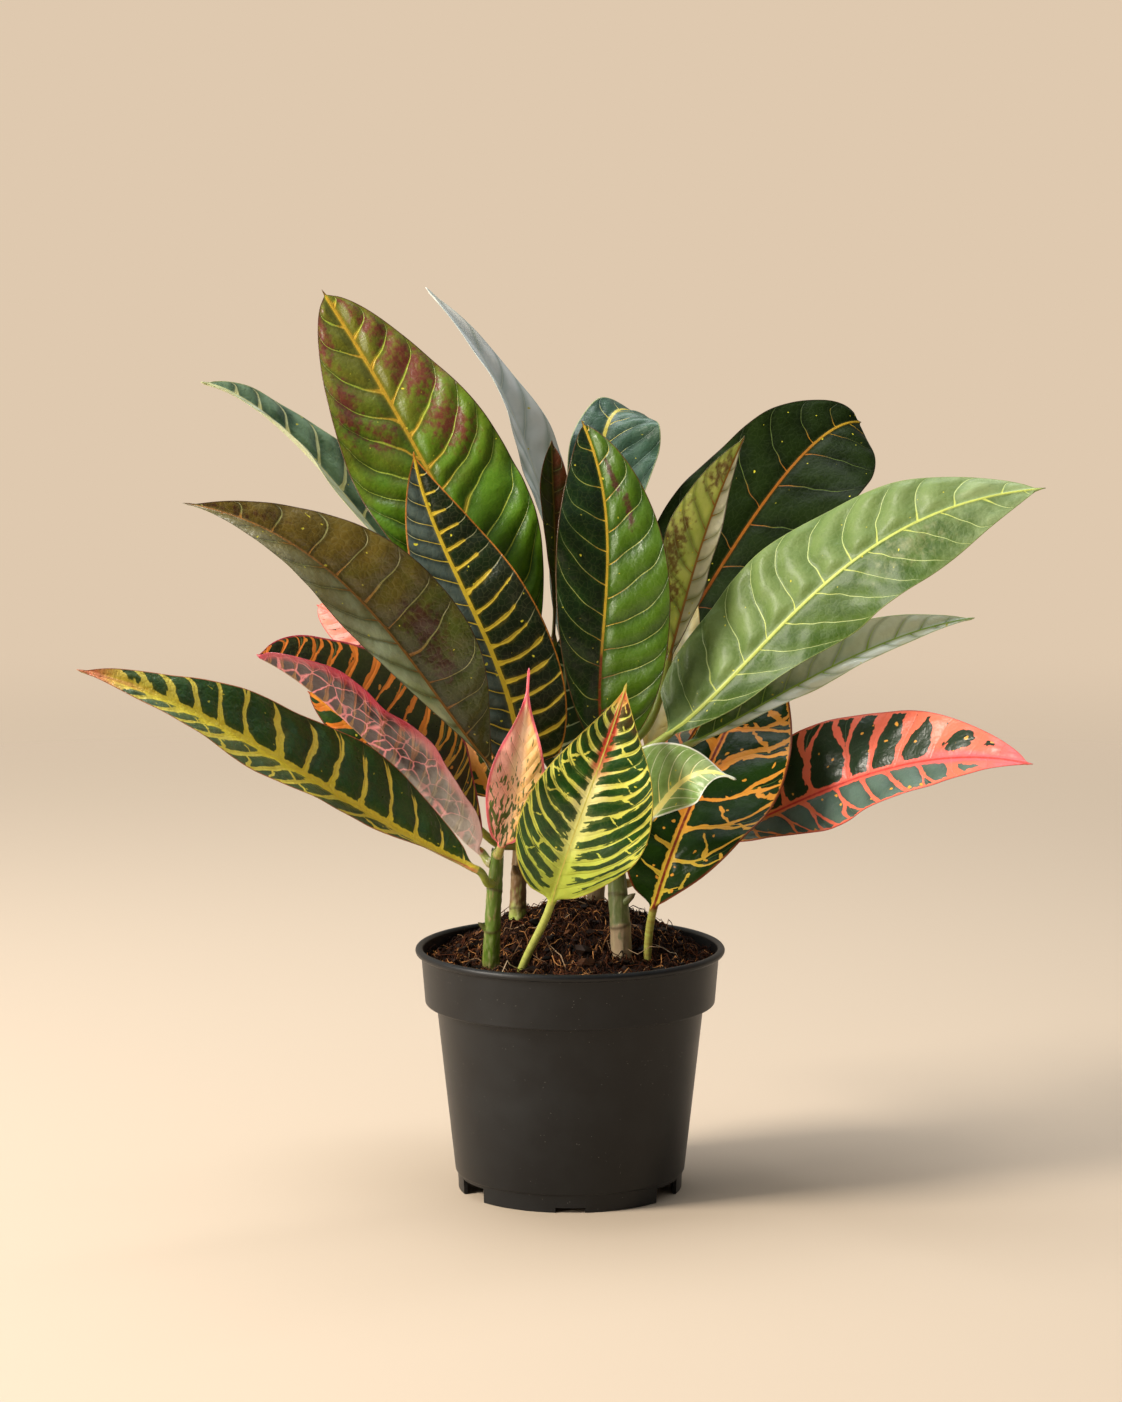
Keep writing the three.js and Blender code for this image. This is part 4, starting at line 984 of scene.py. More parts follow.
# %% What the finish reads
def read_leaf(finish):
    """The numbers that a leaf's mesh stores, the half that a point lies on, and two noises."""
    at = SimpleNamespace()
    at.vein, at.share, at.t = finish.field("vein")
    at.along, at.across, at.margin = finish.field("blade")
    at.flush, at.blotch, at.under = finish.field("tone")
    at.right = at.across.above(0.0)
    at.half = lambda pair: at.right * (pair[1] - pair[0]) + pair[0]
    at.flat = finish.vector(at.along, at.across)
    at.cloud = finish.noise(at.flat, 22, 3) - 0.5
    at.rough = finish.noise(at.flat, 3.5, 4) - 0.5
    return at


# %% Where the colour is
def vein_paint(finish, look, spacing, at):
    """How far each point is from the painted veins, as a share of the paint's half width, the
    distance in millimetres to the nearest side vein, and that vein's own random number."""
    each = finish.dice(at.vein.whole(), at.right)
    gap = at.vein.swing(0.5) * spacing
    mid_base, mid_tip = look["mid"]
    lat_inner, lat_outer = look["lat"]
    band = abs(at.across) / (at.t * (mid_tip - mid_base) + mid_base)

    # A bar tapers outwards, is broad or narrow at its foot, and breaks up here and there.
    grown = (0.5 - at.t) * look["grow"] + 1
    reach = at.share / (at.half(look["reach"]) * (each * 0.5 + 0.75) * grown)
    width = (reach.least(1) * (lat_outer - lat_inner) + lat_inner) * at.half(look["bars"]) * grown
    foot = abs(at.across).step(mid_base + 4, mid_base) * 0.6 + 1.3 - each * 0.6
    patchy = finish.noise(finish.vector(at.vein * spacing, at.across), 8, 2) * 2 - 0.02
    width = (width * foot * patchy).most(0.1)
    beyond = (reach - 1).most(0) * 14
    parts = each.step(0.25, 0.35) * look["fork"]
    fork_from = each * 0.3 + 0.3
    paint = gap / width + beyond + (at.share - fork_from - 0.06).most(0) * parts * 40
    if look["fork"]:
        parted = (at.share - fork_from).most(0) * parts * (spacing * 0.6)
        inner = (fork_from - at.share).most(0) * 30
        paint = paint.near(abs(gap - parted) / (width * 0.75) + beyond + inner, 0.3)
    if look["rung"]:
        # Cross veins stand between two side veins; each is there or not by its own dice.
        between = at.vein.floor()
        shift = finish.dice(between, at.right + 5) + at.cloud * 1.2
        cross = at.share * look["rungs"] + shift + (at.vein - between - 0.5) * look["tilt"]
        rung_gap = cross.swing(0.5) * (abs(at.across) + at.margin) / look["rungs"]
        absent = finish.dice(cross.whole(), between).step(0.35, 0.3) * 12
        inner = (at.half(look["rung_from"]) - at.share + (0.3 - at.t).most(0) * 2).most(0) * 30
        paint = paint.near(rung_gap / (grown * look["rung"]) + absent + inner, 0.3)
    if look["hem"]:
        paint = paint.near(at.margin / (grown * look["hem"]), 0.4)
    return band.near(paint, 0.5), gap, each


# %% [markdown]
# A leaf has three colours of its own, and each of them is a sum of layers: the ground between
# the veins, the paint on them, and the under side.

# %% The ground
def leaf_ground(finish, look, spacing, at):
    """Two greens in clouds, with painted light on the swells between the side veins and painted
    shade in the furrows along them, and over them the other half's greens, the tip's colour,
    brown blotches, thin lines on the veins, round specks."""
    share, cloud, rough, gap = at.share, at.cloud, at.rough, at.gap
    # Painted light: the swells between the side veins lean towards the ground colour, the lighter green on
    # most leaves.
    painted_swell_light = (gap / (spacing * 0.5)).step(0.05, 0.8) * share.step(0, 0.2)
    at.tone = (cloud * 1.8 + rough * 0.25 - painted_swell_light * look["groove"] + 0.65).step(0.1, 0.9)
    ground = finish.mix(at.tone, look["ground"], look["shade"])
    if look["other"]:
        side, first, second = look["other"]
        there = at.right if side == "right" else 1 - at.right
        ground = finish.mix(there, ground, finish.mix(at.tone, first, second))
    if look["ground_tip"]:
        high = (at.t + cloud * 0.5 + rough * 0.15).step(*look["tip_from"]) * 0.85
        ground = finish.mix(high, ground, look["ground_tip"])
    # Painted shade: the furrows along the side veins are darkened towards the furrow colour.
    furrow = gap.step(3.2, 0.3) * share.step(0, 0.1) * look["groove"]
    ground = finish.mix(furrow, ground, look["furrow"])
    mottled = (finish.noise(at.flat, 3.6, 6) - 0.5) * 2.6
    brown = (at.blotch * 1.1 + mottled).step(0.3, 1.1) * at.blotch.step(0.05, 0.3)
    ground = finish.mix(brown * 0.9, ground, look["blotch_colour"])
    thin = gap.step(0.36, 0.12) * share.step(1.0, 0.85) * (at.each * 0.4 + 0.5)
    ground = finish.mix(thin * look["lines"], ground, look["line"])
    ground = finish.mix(at.net.step(0.25, 0.02) * 0.05, ground, look["line"])
    chosen = finish.noise(at.flat, 2.7, 0)
    stretched = finish.vector_maths("MULTIPLY", at.flat, (0.7, 1, 1))
    speck = finish.cells(stretched, 7.0) - (chosen - 0.55) * 0.5
    rare = 0.75 - look["spots"] * 0.37
    specks = (speck + rough * 0.12).step(0.15, 0.1) * chosen.step(rare, rare + 0.04)
    return finish.mix(specks, ground, look["spot"])


# %% The paint
def leaf_paint(finish, look, at):
    """The vein's colour and the far one outwards, and over them those of the right half, the
    base and the tip, the core along the midrib, and flecks of the ground."""
    t, share, across, cloud, rough = at.t, at.share, at.across, at.cloud, at.rough
    outward = (share * 2 + cloud * 0.8).step(0.15, 0.9)
    paint = finish.mix(outward, look["vein"], look["vein_far"])
    if look["vein_right"]:
        beyond = (across + cloud * 8).step(-1, 4) * 0.85
        paint = finish.mix(beyond, paint, look["vein_right"])
    if look["vein_base"]:
        low = (t + cloud * 0.3).step(0.5, 0.12)
        paint = finish.mix(low, paint, look["vein_base"])
    if look["vein_tip"]:
        inner = share.step(0.3, 0.1).most(t.step(0.85, 0.96))
        high = (t + cloud * 0.25).step(*look["tip_paint"]) * inner
        paint = finish.mix(high, paint, look["vein_tip"])
    if look["core"]:
        core = (abs(across) + rough * 0.4).step(look["core_width"], look["core_width"] * 0.4)
        paint = finish.mix(core, paint, look["core"])
    paint = finish.mix(rough.step(-0.05, 0.3) * 0.3, paint, look["vein_far"])
    if look["flecks"]:
        lengthwise = finish.vector_maths("MULTIPLY", at.flat, (0.22, 1, 1))
        more_at_base = (t.step(0.9, 0.1) - 0.5) * 0.25
        fleck = (finish.noise(lengthwise, 1.7, 2) + more_at_base).step(0.6, 0.66)
        paint = finish.mix(fleck * look["flecks"], paint, look["ground"])
    return paint


# %% The under side
def leaf_under(finish, look, at, leaf_colour):
    """Paler than the upper side, whose paint shows faintly, with ribs on the veins or a net of
    them, and on some leaves a coloured margin and a painted sheen towards the base."""
    below = finish.mix(at.painted * 0.3, look["under"], leaf_colour)
    below = finish.mix(at.tone * 0.4, below, look["under_shade"] or look["shade"])
    ribs = (at.gap + at.rough * 0.5).step(0.8, 0.2).most(abs(at.across).step(1.4, 0.8)) * 0.6
    if look["under_net"]:
        bent = finish.vector_maths("ADD", at.flat, finish.vector(at.rough * 3, at.cloud * 6))
        net = finish.cells(bent, 10, "DISTANCE_TO_EDGE") * 10 + at.share * 0.4
        ribs = net.step(look["under_net"] * 2, look["under_net"] * 0.3) * (at.cloud + 0.8)
    below = finish.mix(ribs, below, look["under_vein"])
    if look["under_rim"]:
        band = (at.margin + at.cloud * 5).step(look["under_rim"], look["under_rim"] * 0.3)
        below = finish.mix(band * 0.85, below, look["rim"])
    # Painted sheen: towards the base the under side pales, as where it catches the light.
    if look["under_base"]:
        pale = (at.t + at.cloud * 0.6).step(0.6, 0.05) * 0.6
        below = finish.mix(pale, below, look["under_base"])
    return below


# %% The whole leaf's finish
def leaf_finish(name, look, length):
    """The material of one leaf: paint on the ground with a faint halo, the rim's thin line on
    both, the under side, and the stalk. A fine net and soft unevenness make its relief."""
    finish = Finish(
        name, Subsurface_Weight=look["through"], Subsurface_Scale=0.002, Subsurface_Radius=(1, 1, 0.8),
        Specular_IOR_Level=look["shine"], Coat_Weight=look["shine"] * 0.3, Coat_Roughness=0.2,
    )
    at = read_leaf(finish)
    spacing = length / look["laterals"]
    near, at.gap, at.each = vein_paint(finish, look, spacing, at)
    dashes = finish.noise(finish.vector(at.vein * spacing, at.across * 0.22), 3.2, 3) - 0.5
    away = abs(at.across).step(1.5, 6) * 0.8 + 0.2
    near = near + (at.rough * 0.5 + dashes * look["dashes"] * away) * look["ragged"] - at.flush * 2.2
    at.painted = near.step(1.12, 0.92)
    at.net = finish.cells(at.flat, 3.4, "DISTANCE_TO_EDGE") * 3.4

    ground = leaf_ground(finish, look, spacing, at)
    paint = leaf_paint(finish, look, at)
    leaf_colour = finish.mix(near.step(2.6, 0.9) * look["halo"], ground, paint)
    leaf_colour = finish.mix(at.painted, leaf_colour, paint)
    edge = (at.margin + at.rough * 0.6).step(look["rim_width"] * 1.6, look["rim_width"] * 0.6)
    leaf_colour = finish.mix(edge * 0.9, leaf_colour, look["rim"])
    below = leaf_under(finish, look, at, leaf_colour)
    leaf_colour = finish.mix(at.under, leaf_colour, below)
    stalk = finish.mix(finish.noise(at.flat, 3, 3).step(0.3, 0.7) * 0.5, look["stalk"], below)
    leaf_colour = finish.mix((at.t + at.rough * 0.03).step(0.02, -0.02), leaf_colour, stalk)

    relief = at.net.step(0, 0.7) * 0.3 + finish.noise(at.flat, 0.9, 2) * 0.15
    relief = relief + finish.noise(at.flat, 7, 2) * 4 + finish.noise(at.flat, 2.6, 1) * 1.2
    relief = relief * look["uneven"] + at.gap.step(0, 0.8) * 0.9
    gloss = finish.noise(at.flat, 9, 3) * 0.14 + at.painted * 0.04 + (look["roughness"] - 0.07)
    return finish.give(Base_Color=leaf_colour, Roughness=gloss, Normal=finish.bump(relief, 0.14))


# %% [markdown]
# ## Pot
# A nursery pot is one thin wall that is drawn up from its floor: a foot ring, a slightly
# conical body, a wider collar and a rolled bead. That is a shape for the potter's wheel: half
# of its section, turned about the axis. The foot's notches are made in the same move, for
# inside a notch the section's lowest points are lifted to the notch's height.

# %% The pot's section
POT_RIM = (82.9, 132.9)  # the middle of the bead, as radius and height
POT_BEAD = 2.1
NOTCHES = (60, 120, 240, 300)  # degrees from the front, towards +X
NOTCH_HALF, NOTCH_HEIGHT = 10.4, 7.95  # half the width in degrees, and the height
SLOTS = (0, 180)
SLOT_HALF, SLOT_HEIGHT = 7.5, 2.8
DRAIN_HALF, DRAIN_FROM, DRAIN_TO = 5.25, 43, 55  # half in degrees, and from radius to radius
FLOOR_BELOW, FLOOR_ABOVE = 8.0, 9.5
CUT = 0.02  # degrees to each side of an edge, at which the turned wall has its last rows
EVEN_STEP = 1.25  # degrees between the other rows
APART = 0.4  # degrees by which the two kinds keep away from each other


def arc(middle, radius, start, end, steps):
    """Points round a middle (radius, height) from one angle to another, in degrees."""
    angle = np.radians(np.linspace(start, end, steps))
    return np.stack([middle[0] + radius * np.cos(angle), middle[1] + radius * np.sin(angle)], -1)


def turned(section, angle):
    """Rings of a section (radius, height) turned about the axis; angle in degrees from the front."""
    turn = np.radians(angle)
    x = section[:, :1] * np.sin(turn)
    y = -section[:, :1] * np.cos(turn)
    return np.stack([x, y, section[:, 1:] + 0 * x], -1)


def away_from(angle, middles):
    """The smallest turn, in degrees, from each angle to any of the middles."""
    gap = (np.reshape(angle, (-1, 1)) - np.array(middles) + 180) % 360 - 180
    return np.abs(gap).min(1)


def pot_section():
    """The pot's wall from the middle of its floor's under side, outside over the rim, to the
    middle of its floor's upper side."""
    floor_radii = (2, 25, DRAIN_FROM, DRAIN_TO)
    return np.concatenate([
        [(radius, FLOOR_BELOW) for radius in floor_radii],
        [(59.2, 7.98), (59.6, 7.8), (59.7, 7.4), (59.7, 0.3)],  # inside of the foot ring
        [(59.9, 0.05), (60.2, 0), (60.9, 0)],  # its edge, on which the pot stands
        arc((60.95, 0.7), 0.7, -80, 0, 5),
        [(62.0, 9.0)],
        [(62.3, 9.7), (62.9, 10.1), (63.3, 10.9)],  # the step out to the body
        [(68.4, 56.8), (73.4, 102.6)],  # the body
        [(73.6, 103.2), (74.2, 103.5), (78.5, 103.8)],  # under the collar
        arc((78.6, 104.9), 1.1, -80, 5, 6),
        [(81.7, 129.4), (81.95, 130.6), (82.5, 130.9)],  # the collar
        arc(POT_RIM, POT_BEAD, -80, 185, 22),
        [(80.3, 130), (78.1, 106.5), (77.2, 106.1), (72.6, 105.2), (72, 104.6)],  # inside
        [(61.8, 11.1), (61, FLOOR_ABOVE)],
        [(radius, FLOOR_ABOVE) for radius in reversed(floor_radii)],
    ])


def pot_angles():
    """Even steps round the pot, with rows close to each side of the notches' and slots' edges
    and even rows within the drain holes."""
    stops = []
    for middle in NOTCHES:
        for edge in (-NOTCH_HALF, NOTCH_HALF):
            stops += [middle + edge - CUT, middle + edge + CUT]
        stops += list(np.linspace(middle - DRAIN_HALF, middle + DRAIN_HALF, 9))
    for middle in SLOTS:
        for edge in (-SLOT_HALF, SLOT_HALF):
            stops += [(middle + edge - CUT) % 360, (middle + edge + CUT) % 360]
    even = np.arange(0, 360, EVEN_STEP)
    return np.sort(np.concatenate([even[away_from(even, stops) > APART], stops]))


# %% Pot
RIB_SIZE, RIB_PLACE = (1.5, 9, 6.5), (0, -38, 5.5)  # of a rib under the floor
EDGE_ANGLE = 32  # degrees from which an edge of the pot stays sharp


def box_skin(size, middle, angle):
    """A box of (width, depth, height) at a place on the front radius, turned about the axis."""
    corner = np.array([(x, y, z) for x in (-1, 1) for y in (-1, 1) for z in (-1, 1)]) / 2
    x, y, z = (corner * size + middle).T
    turn = math.radians(angle)
    turned_x = x * math.cos(turn) - y * math.sin(turn)
    turned_y = x * math.sin(turn) + y * math.cos(turn)
    points = np.stack([turned_x, turned_y, z], -1)
    sides = [(0, 1, 3, 2), (4, 6, 7, 5), (0, 4, 5, 1), (2, 3, 7, 6), (0, 2, 6, 4), (1, 5, 7, 3)]
    return points, facing_out(points, halved(np.array(sides))), {}


def make_pot(material):
    """The turned wall with its notches, slots, drain holes and the ribs under its floor."""
    section, angle = pot_section(), pot_angles()
    rings = turned(section, angle)
    lift = np.where(away_from(angle, NOTCHES) < NOTCH_HALF, NOTCH_HEIGHT, 0)
    lift = np.where(away_from(angle, SLOTS) < SLOT_HALF, SLOT_HEIGHT, lift)
    foot = section[:, 0] > DRAIN_TO
    rings[foot, :, 2] = np.maximum(rings[foot, :, 2], lift)

    # A drain hole: one quad ring of the floor is left out, below and above, and walled round.
    rows, columns = rings.shape[:2]
    row = lambda radius, height: int(np.argmin(np.abs(section - (radius, height)).sum(1)))
    low_in, low_out = row(DRAIN_FROM, FLOOR_BELOW), row(DRAIN_TO, FLOOR_BELOW)
    high_out, high_in = row(DRAIN_TO, FLOOR_ABOVE), row(DRAIN_FROM, FLOOR_ABOVE)
    middle = (angle + np.roll(angle, -1)) / 2
    open_here = away_from(middle, NOTCHES) < DRAIN_HALF
    kept = np.ones((rows - 1, columns), bool)
    kept[low_in, open_here] = False
    kept[high_out, open_here] = False
    points, faces, _ = tube_skin(rings, None, kept)
    j = np.flatnonzero(open_here)
    beside = (j + 1) % columns
    starts, ends = j[~np.isin(j, beside)], beside[~np.isin(beside, j)]
    upright = lambda low, high, a, b, to_low, to_high: np.stack(
        [low * columns + a, to_low * columns + b, to_high * columns + b, high * columns + a], -1
    )
    walls = np.concatenate([
        upright(low_in, high_in, beside, j, low_in, high_in),
        upright(low_out, high_out, j, beside, low_out, high_out),
        upright(low_in, high_in, starts, starts, low_out, high_out),
        upright(low_out, high_out, ends, ends, low_in, high_in),
    ])
    wall_skin = np.concatenate([faces, halved(walls)])
    ribs = [box_skin(RIB_SIZE, RIB_PLACE, turn) for turn in NOTCHES]
    return make_object("nursery_pot", [(points, wall_skin, {}), *ribs], material, EDGE_ANGLE)


def pot_finish():
    """Black polypropylene: a satin moulded grain, a little dust and a few pale specks."""
    finish = Finish("black_pot", Specular_IOR_Level=0.34)
    where = finish.place()
    grain = finish.noise(where, 0.45, 3)
    cloud = finish.noise(where, 18, 4)
    dust = finish.cells(where, 2.1).step(0.1, 0.05) * finish.noise(where, 6, 2).step(0.52, 0.64)
    base = finish.mix(cloud.step(0.3, 0.75), "101113", "17191b")
    base = finish.mix(grain.step(0.62, 0.85) * 0.35, base, "38363a")
    base = finish.mix(dust * 0.6, base, "a8a29a")
    gloss = cloud * 0.1 + grain * 0.12 + 0.3
    return finish.give(Base_Color=base, Roughness=gloss, Normal=finish.bump(grain, 0.05, 0.7))


pot = make_pot(pot_finish())
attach(pot, "root")
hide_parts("pot")
print("pot:", len(pot.data.polygons), "triangles")

# %% [markdown]
# ## Soil
# The pot is filled to just below its rim with dark peat. Its surface is a low mound, broken
# into crumbs. The crumbs are real relief on a fine round grid, made from soft random hills
# whose lower halves are folded up: that turns waves into rounded lumps with creases between.

# %% Soil surface
SOIL_EDGE = 126  # the height of the surface at the pot's wall
SOIL_RADIUS = 79.5
SOIL_SIDE = [(77.7, 106.9), (71.6, 105.4), (61.4, 11.4), (60.6, 9.8), (3, 9.8)]
CRUMBS_SUNK = 1.6  # how far the crumbs' hollows lie under the solid's surface


def soil_height(x, y):
    """The solid's surface: a mound that fades out towards the wall, with small lumps."""
    away = np.hypot(x - 5, y - 33) / 72
    outward = np.hypot(x, y) / 79.9
    mound = 24 * np.maximum(0, 1 - away**2) * np.maximum(0, 1 - outward**6)
    lumps = np.sin(x / 6.1 + 1) * np.cos(y / 7.3) + np.sin((x + y) / 4.3) * np.sin(y / 5.1)
    return SOIL_EDGE + mound + lumps


def crumbly(x, y):
    """The surface with its crumbs: folded hills of four sizes on top of the mound."""
    height = soil_height(x, y) - CRUMBS_SUNK
    for size, tall, seed in ((13, 1.9, 1), (6, 1.9, 2), (3, 1.2, 3), (1.6, 0.55, 4)):
        height = height + tall * np.abs(ripple(x, y, size, seed, 9))
    return height


def soil_finish():
    """Dark moist peat: near black in the hollows, rust brown on the crumbs' tops."""
    finish = Finish("dark_peat", Specular_IOR_Level=0.12)
    where = finish.place()
    height, _, _ = finish.field("soil")
    fine = finish.noise(where, 0.7, 4)
    patch = finish.noise(where, 6, 3)
    tops = (height + fine * 1.5).step(0.9, 3.4)
    base = finish.mix(tops, "030101", "25130a")
    base = finish.mix((patch + fine * 0.6).step(0.75, 1.05) * 0.75, base, "36200f")
    gloss = fine * 0.3 + 0.62
    relief = finish.cells(where, 1.1) + fine * 0.8
    return finish.give(Base_Color=base, Roughness=gloss, Normal=finish.bump(relief, 0.5))


def make_soil(material):
    """A round grid for the surface, and five coarse rings for the side against the pot."""
    radius = np.linspace(0.4, SOIL_RADIUS, 170)[:, None]
    turn = np.linspace(0, 2 * np.pi, 361)[:-1][None, :]
    x, y = radius * np.sin(turn), -radius * np.cos(turn)
    top = np.stack([x, y, crumbly(x, y)], -1)
    relief = top[..., 2] - soil_height(x, y) + CRUMBS_SUNK
    below = turned(np.array(SOIL_SIDE), np.degrees(turn[0]))
    rings = np.concatenate([top, below])
    height = np.concatenate([relief, np.zeros(below.shape[:2])])
    return make_object("peat", [tube_skin(rings, {"soil": triple(height)})], material)


soil = make_soil(soil_finish())
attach(soil, "root")
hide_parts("soil")
print("soil:", len(soil.data.polygons), "triangles")

# %% [markdown]
# A felt of coir fibres lies on the peat: short, rust brown and curved, a few standing up, and
# some longer pale roots. Each one is a three-sided tube of six rings. All of them are
# worked out at once, as one array with a row for each fibre, and become one mesh.

# %% Fibres and roots
WALL_INSIDE = 78.6  # threads are pressed in to this radius
NEAR_WALL = 70  # beyond this radius they stay under the pot's rim
RIM_CAP, PLANT_CAP = 133.5, 190  # the greatest heights near the wall and elsewhere


def many_tubes(centres, radii, tint):
    """One skin for many thin tubes. centres is (tubes, rings, 3), radii (tubes, rings) and
    tint one number for each tube."""
    tubes, rings = centres.shape[:2]
    along = unit(np.gradient(centres, axis=1))
    side = unit(np.cross(along, (0.05, 0.09, 1.0)))
    up = np.cross(side, along)
    turn = np.arange(3) * 2 * np.pi / 3
    points = centres[:, :, None] + radii[..., None, None] * (
        side[:, :, None] * np.cos(turn)[:, None] + up[:, :, None] * np.sin(turn)[:, None]
    )
    one = ring_quads(rings, 3)
    caps = np.array([(0, 2, 1), (rings * 3 - 3, rings * 3 - 2, rings * 3 - 1)])
    one = facing_out(points[0].reshape(-1, 3), np.concatenate([one, caps]))
    faces = (np.arange(tubes)[:, None, None] * rings * 3 + one).reshape(-1, 3)
    return points.reshape(-1, 3), faces, {"tint": triple(np.repeat(tint, rings * 3))}


def scattered(count, length, rise, radius, seed, curl, reach=76, rings=6):
    """Curved threads that lie on the soil: a heading that turns as it goes, and a height over
    the surface that arches as a power of sin(pi u). One in seven leans up. Near the pot's wall
    they are pressed inwards."""
    rng = np.random.default_rng(seed)
    away = reach * np.sqrt(rng.uniform(0, 1, count))
    turn = rng.uniform(0, 2 * np.pi, count)
    size = length * rng.lognormal(-0.15, 0.45, count)
    heading = rng.uniform(0, 2 * np.pi, count)
    bend = rng.normal(0, 0.45 * curl, (count, rings)).cumsum(1)
    step = size[:, None] / (rings - 1)
    x = (away * np.sin(turn))[:, None] + (np.cos(heading[:, None] + bend) * step).cumsum(1)
    y = (-away * np.cos(turn))[:, None] + (np.sin(heading[:, None] + bend) * step).cumsum(1)
    press = np.minimum(1, WALL_INSIDE / np.maximum(np.hypot(x, y), 1))
    x, y = x * press, y * press
    u = np.linspace(0, 1, rings)
    arch = np.abs(rng.normal(0, rise, count))[:, None] * np.sin(np.pi * u) ** 0.7
    lean = np.where(rng.uniform(0, 1, count) < 0.14, rng.uniform(0, 0.35, count), 0)[:, None]
    z = crumbly(x, y) + radius + arch + lean * size[:, None] * u - 0.2
    z = np.minimum(z, np.where(np.hypot(x, y) > NEAR_WALL, RIM_CAP, PLANT_CAP))
    thick = radius * rng.uniform(0.6, 1.5, count)[:, None] * (1 - 0.65 * np.abs(2 * u - 1) ** 3)
    return many_tubes(np.stack([x, y, z], -1), thick, rng.uniform(0, 1, count))


def fibre_finish(name, dark, middle, light):
    """Dry plant fibre: one of three shades for each thread or crumb."""
    finish = Finish(name, Specular_IOR_Level=0.15, Roughness=0.6)
    tint, _, _ = finish.field("tint")
    base = finish.mix(tint.step(0.1, 0.8), dark, middle)
    return finish.give(Base_Color=finish.mix(tint.step(0.78, 1.0), base, light))


fibres = make_object(
    "coir_fibres",
    [
        scattered(3200, length=9, rise=1.0, radius=0.21, seed=1, curl=0.45),
        scattered(600, length=18, rise=2.0, radius=0.27, seed=2, curl=0.5),
    ],
    fibre_finish("coir", "160b05", "54290f", "c78a50"),
)
roots = make_object(
    "thin_roots",
    [scattered(45, length=30, rise=2.0, radius=0.27, seed=3, curl=0.6, reach=68)],
    fibre_finish("dry_roots", "8a6a4c", "b39473", "d2c0a4"),
)
for piece in (fibres, roots):
    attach(piece, "root")
print("threads:", len(fibres.data.polygons) + len(roots.data.polygons), "triangles")

# %% [markdown]
# The loose crumbs that lie on top are small broken lumps. Hundreds of them have to be light,
# so each one is a shape with only twenty faces, and no two are pushed about in the same way.

# %% Crumbs
def crumb_skin(count, size, seed, reach=77):
    """Small broken lumps: the 12 corners of an icosahedron, pushed about at random, turned and
    flattened, and laid on the surface, into which they sink a little."""
    rng = np.random.default_rng(seed)
    golden = (1 + 5**0.5) / 2
    corner = unit(np.array([
        (-1, golden, 0), (1, golden, 0), (-1, -golden, 0), (1, -golden, 0),
        (0, -1, golden), (0, 1, golden), (0, -1, -golden), (0, 1, -golden),
        (golden, 0, -1), (golden, 0, 1), (-golden, 0, -1), (-golden, 0, 1),
    ], float))
    one = np.array([
        (0, 11, 5), (0, 5, 1), (0, 1, 7), (0, 7, 10), (0, 10, 11), (1, 5, 9), (5, 11, 4),
        (11, 10, 2), (10, 7, 6), (7, 1, 8), (3, 9, 4), (3, 4, 2), (3, 2, 6), (3, 6, 8),
        (3, 8, 9), (4, 9, 5), (2, 4, 11), (6, 2, 10), (8, 6, 7), (9, 8, 1),
    ])
    lump = corner * rng.uniform(0.65, 1.25, (count, 12, 1))
    lump = lump * (size * rng.lognormal(0, 0.4, count))[:, None, None] * (1, 0.8, 0.55)
    spin = rng.uniform(0, 2 * np.pi, count)[:, None]
    away = reach * np.sqrt(rng.uniform(0, 1, count))
    turn = rng.uniform(0, 2 * np.pi, count)
    x, y = away * np.sin(turn), -away * np.cos(turn)
    points = np.stack([
        lump[..., 0] * np.cos(spin) - lump[..., 1] * np.sin(spin) + x[:, None],
        lump[..., 0] * np.sin(spin) + lump[..., 1] * np.cos(spin) + y[:, None],
        lump[..., 2] + (crumbly(x, y) + 0.2 * size)[:, None],
    ], -1)
    faces = (np.arange(count)[:, None, None] * 12 + one).reshape(-1, 3)
    tint = np.repeat(rng.uniform(0, 1, count), 12)
    points = points.reshape(-1, 3)
    return points, facing_out(points, faces), {"tint": triple(tint)}


crumbs = make_object(
    "crumbs",
    [crumb_skin(1200, size=1.2, seed=4), crumb_skin(130, size=2.3, seed=5, reach=72)],
    fibre_finish("crumbs", "0b0603", "22130a", "5a3820"),
    sharp=40,
)
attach(crumbs, "root")
print("crumbs:", len(crumbs.data.polygons), "triangles")

# %% [markdown]
# ## Stem surfaces
# Young croton wood is smooth and green; where it is older it turns grey and tan and cracks a
# little lengthwise. Fallen leaves leave raised rings. The relief is a sum again: rings at
# given heights, long soft ribs, and fine wrinkles in the old part.

# %% Stems
# For each stem: its colours below and above, the height at which one gives way to the other,
# the colour of its patches, and the heights of its scars.
barks = {
    "left": dict(
        old="6f6430", young="56701c", change=131, patch="7a6a2c", scars=(150, 172),
    ),
    "middle": dict(
        old="93a24a", young="6d5232", change=152, patch="7c8a3c", scars=(152, 171, 190, 214),
    ),
    "right": dict(
        old="a08a6c", young="64703f", change=152, patch="4f5a33", scars=(150, 166, 182, 203, 226),
    ),
    "back": dict(
        old="8f7a5c", young="5f7038", change=176, patch="6a5a3a", scars=(168, 187, 206, 228, 250),
    ),
}
SIDES, BUD_SIDES = 28, 14


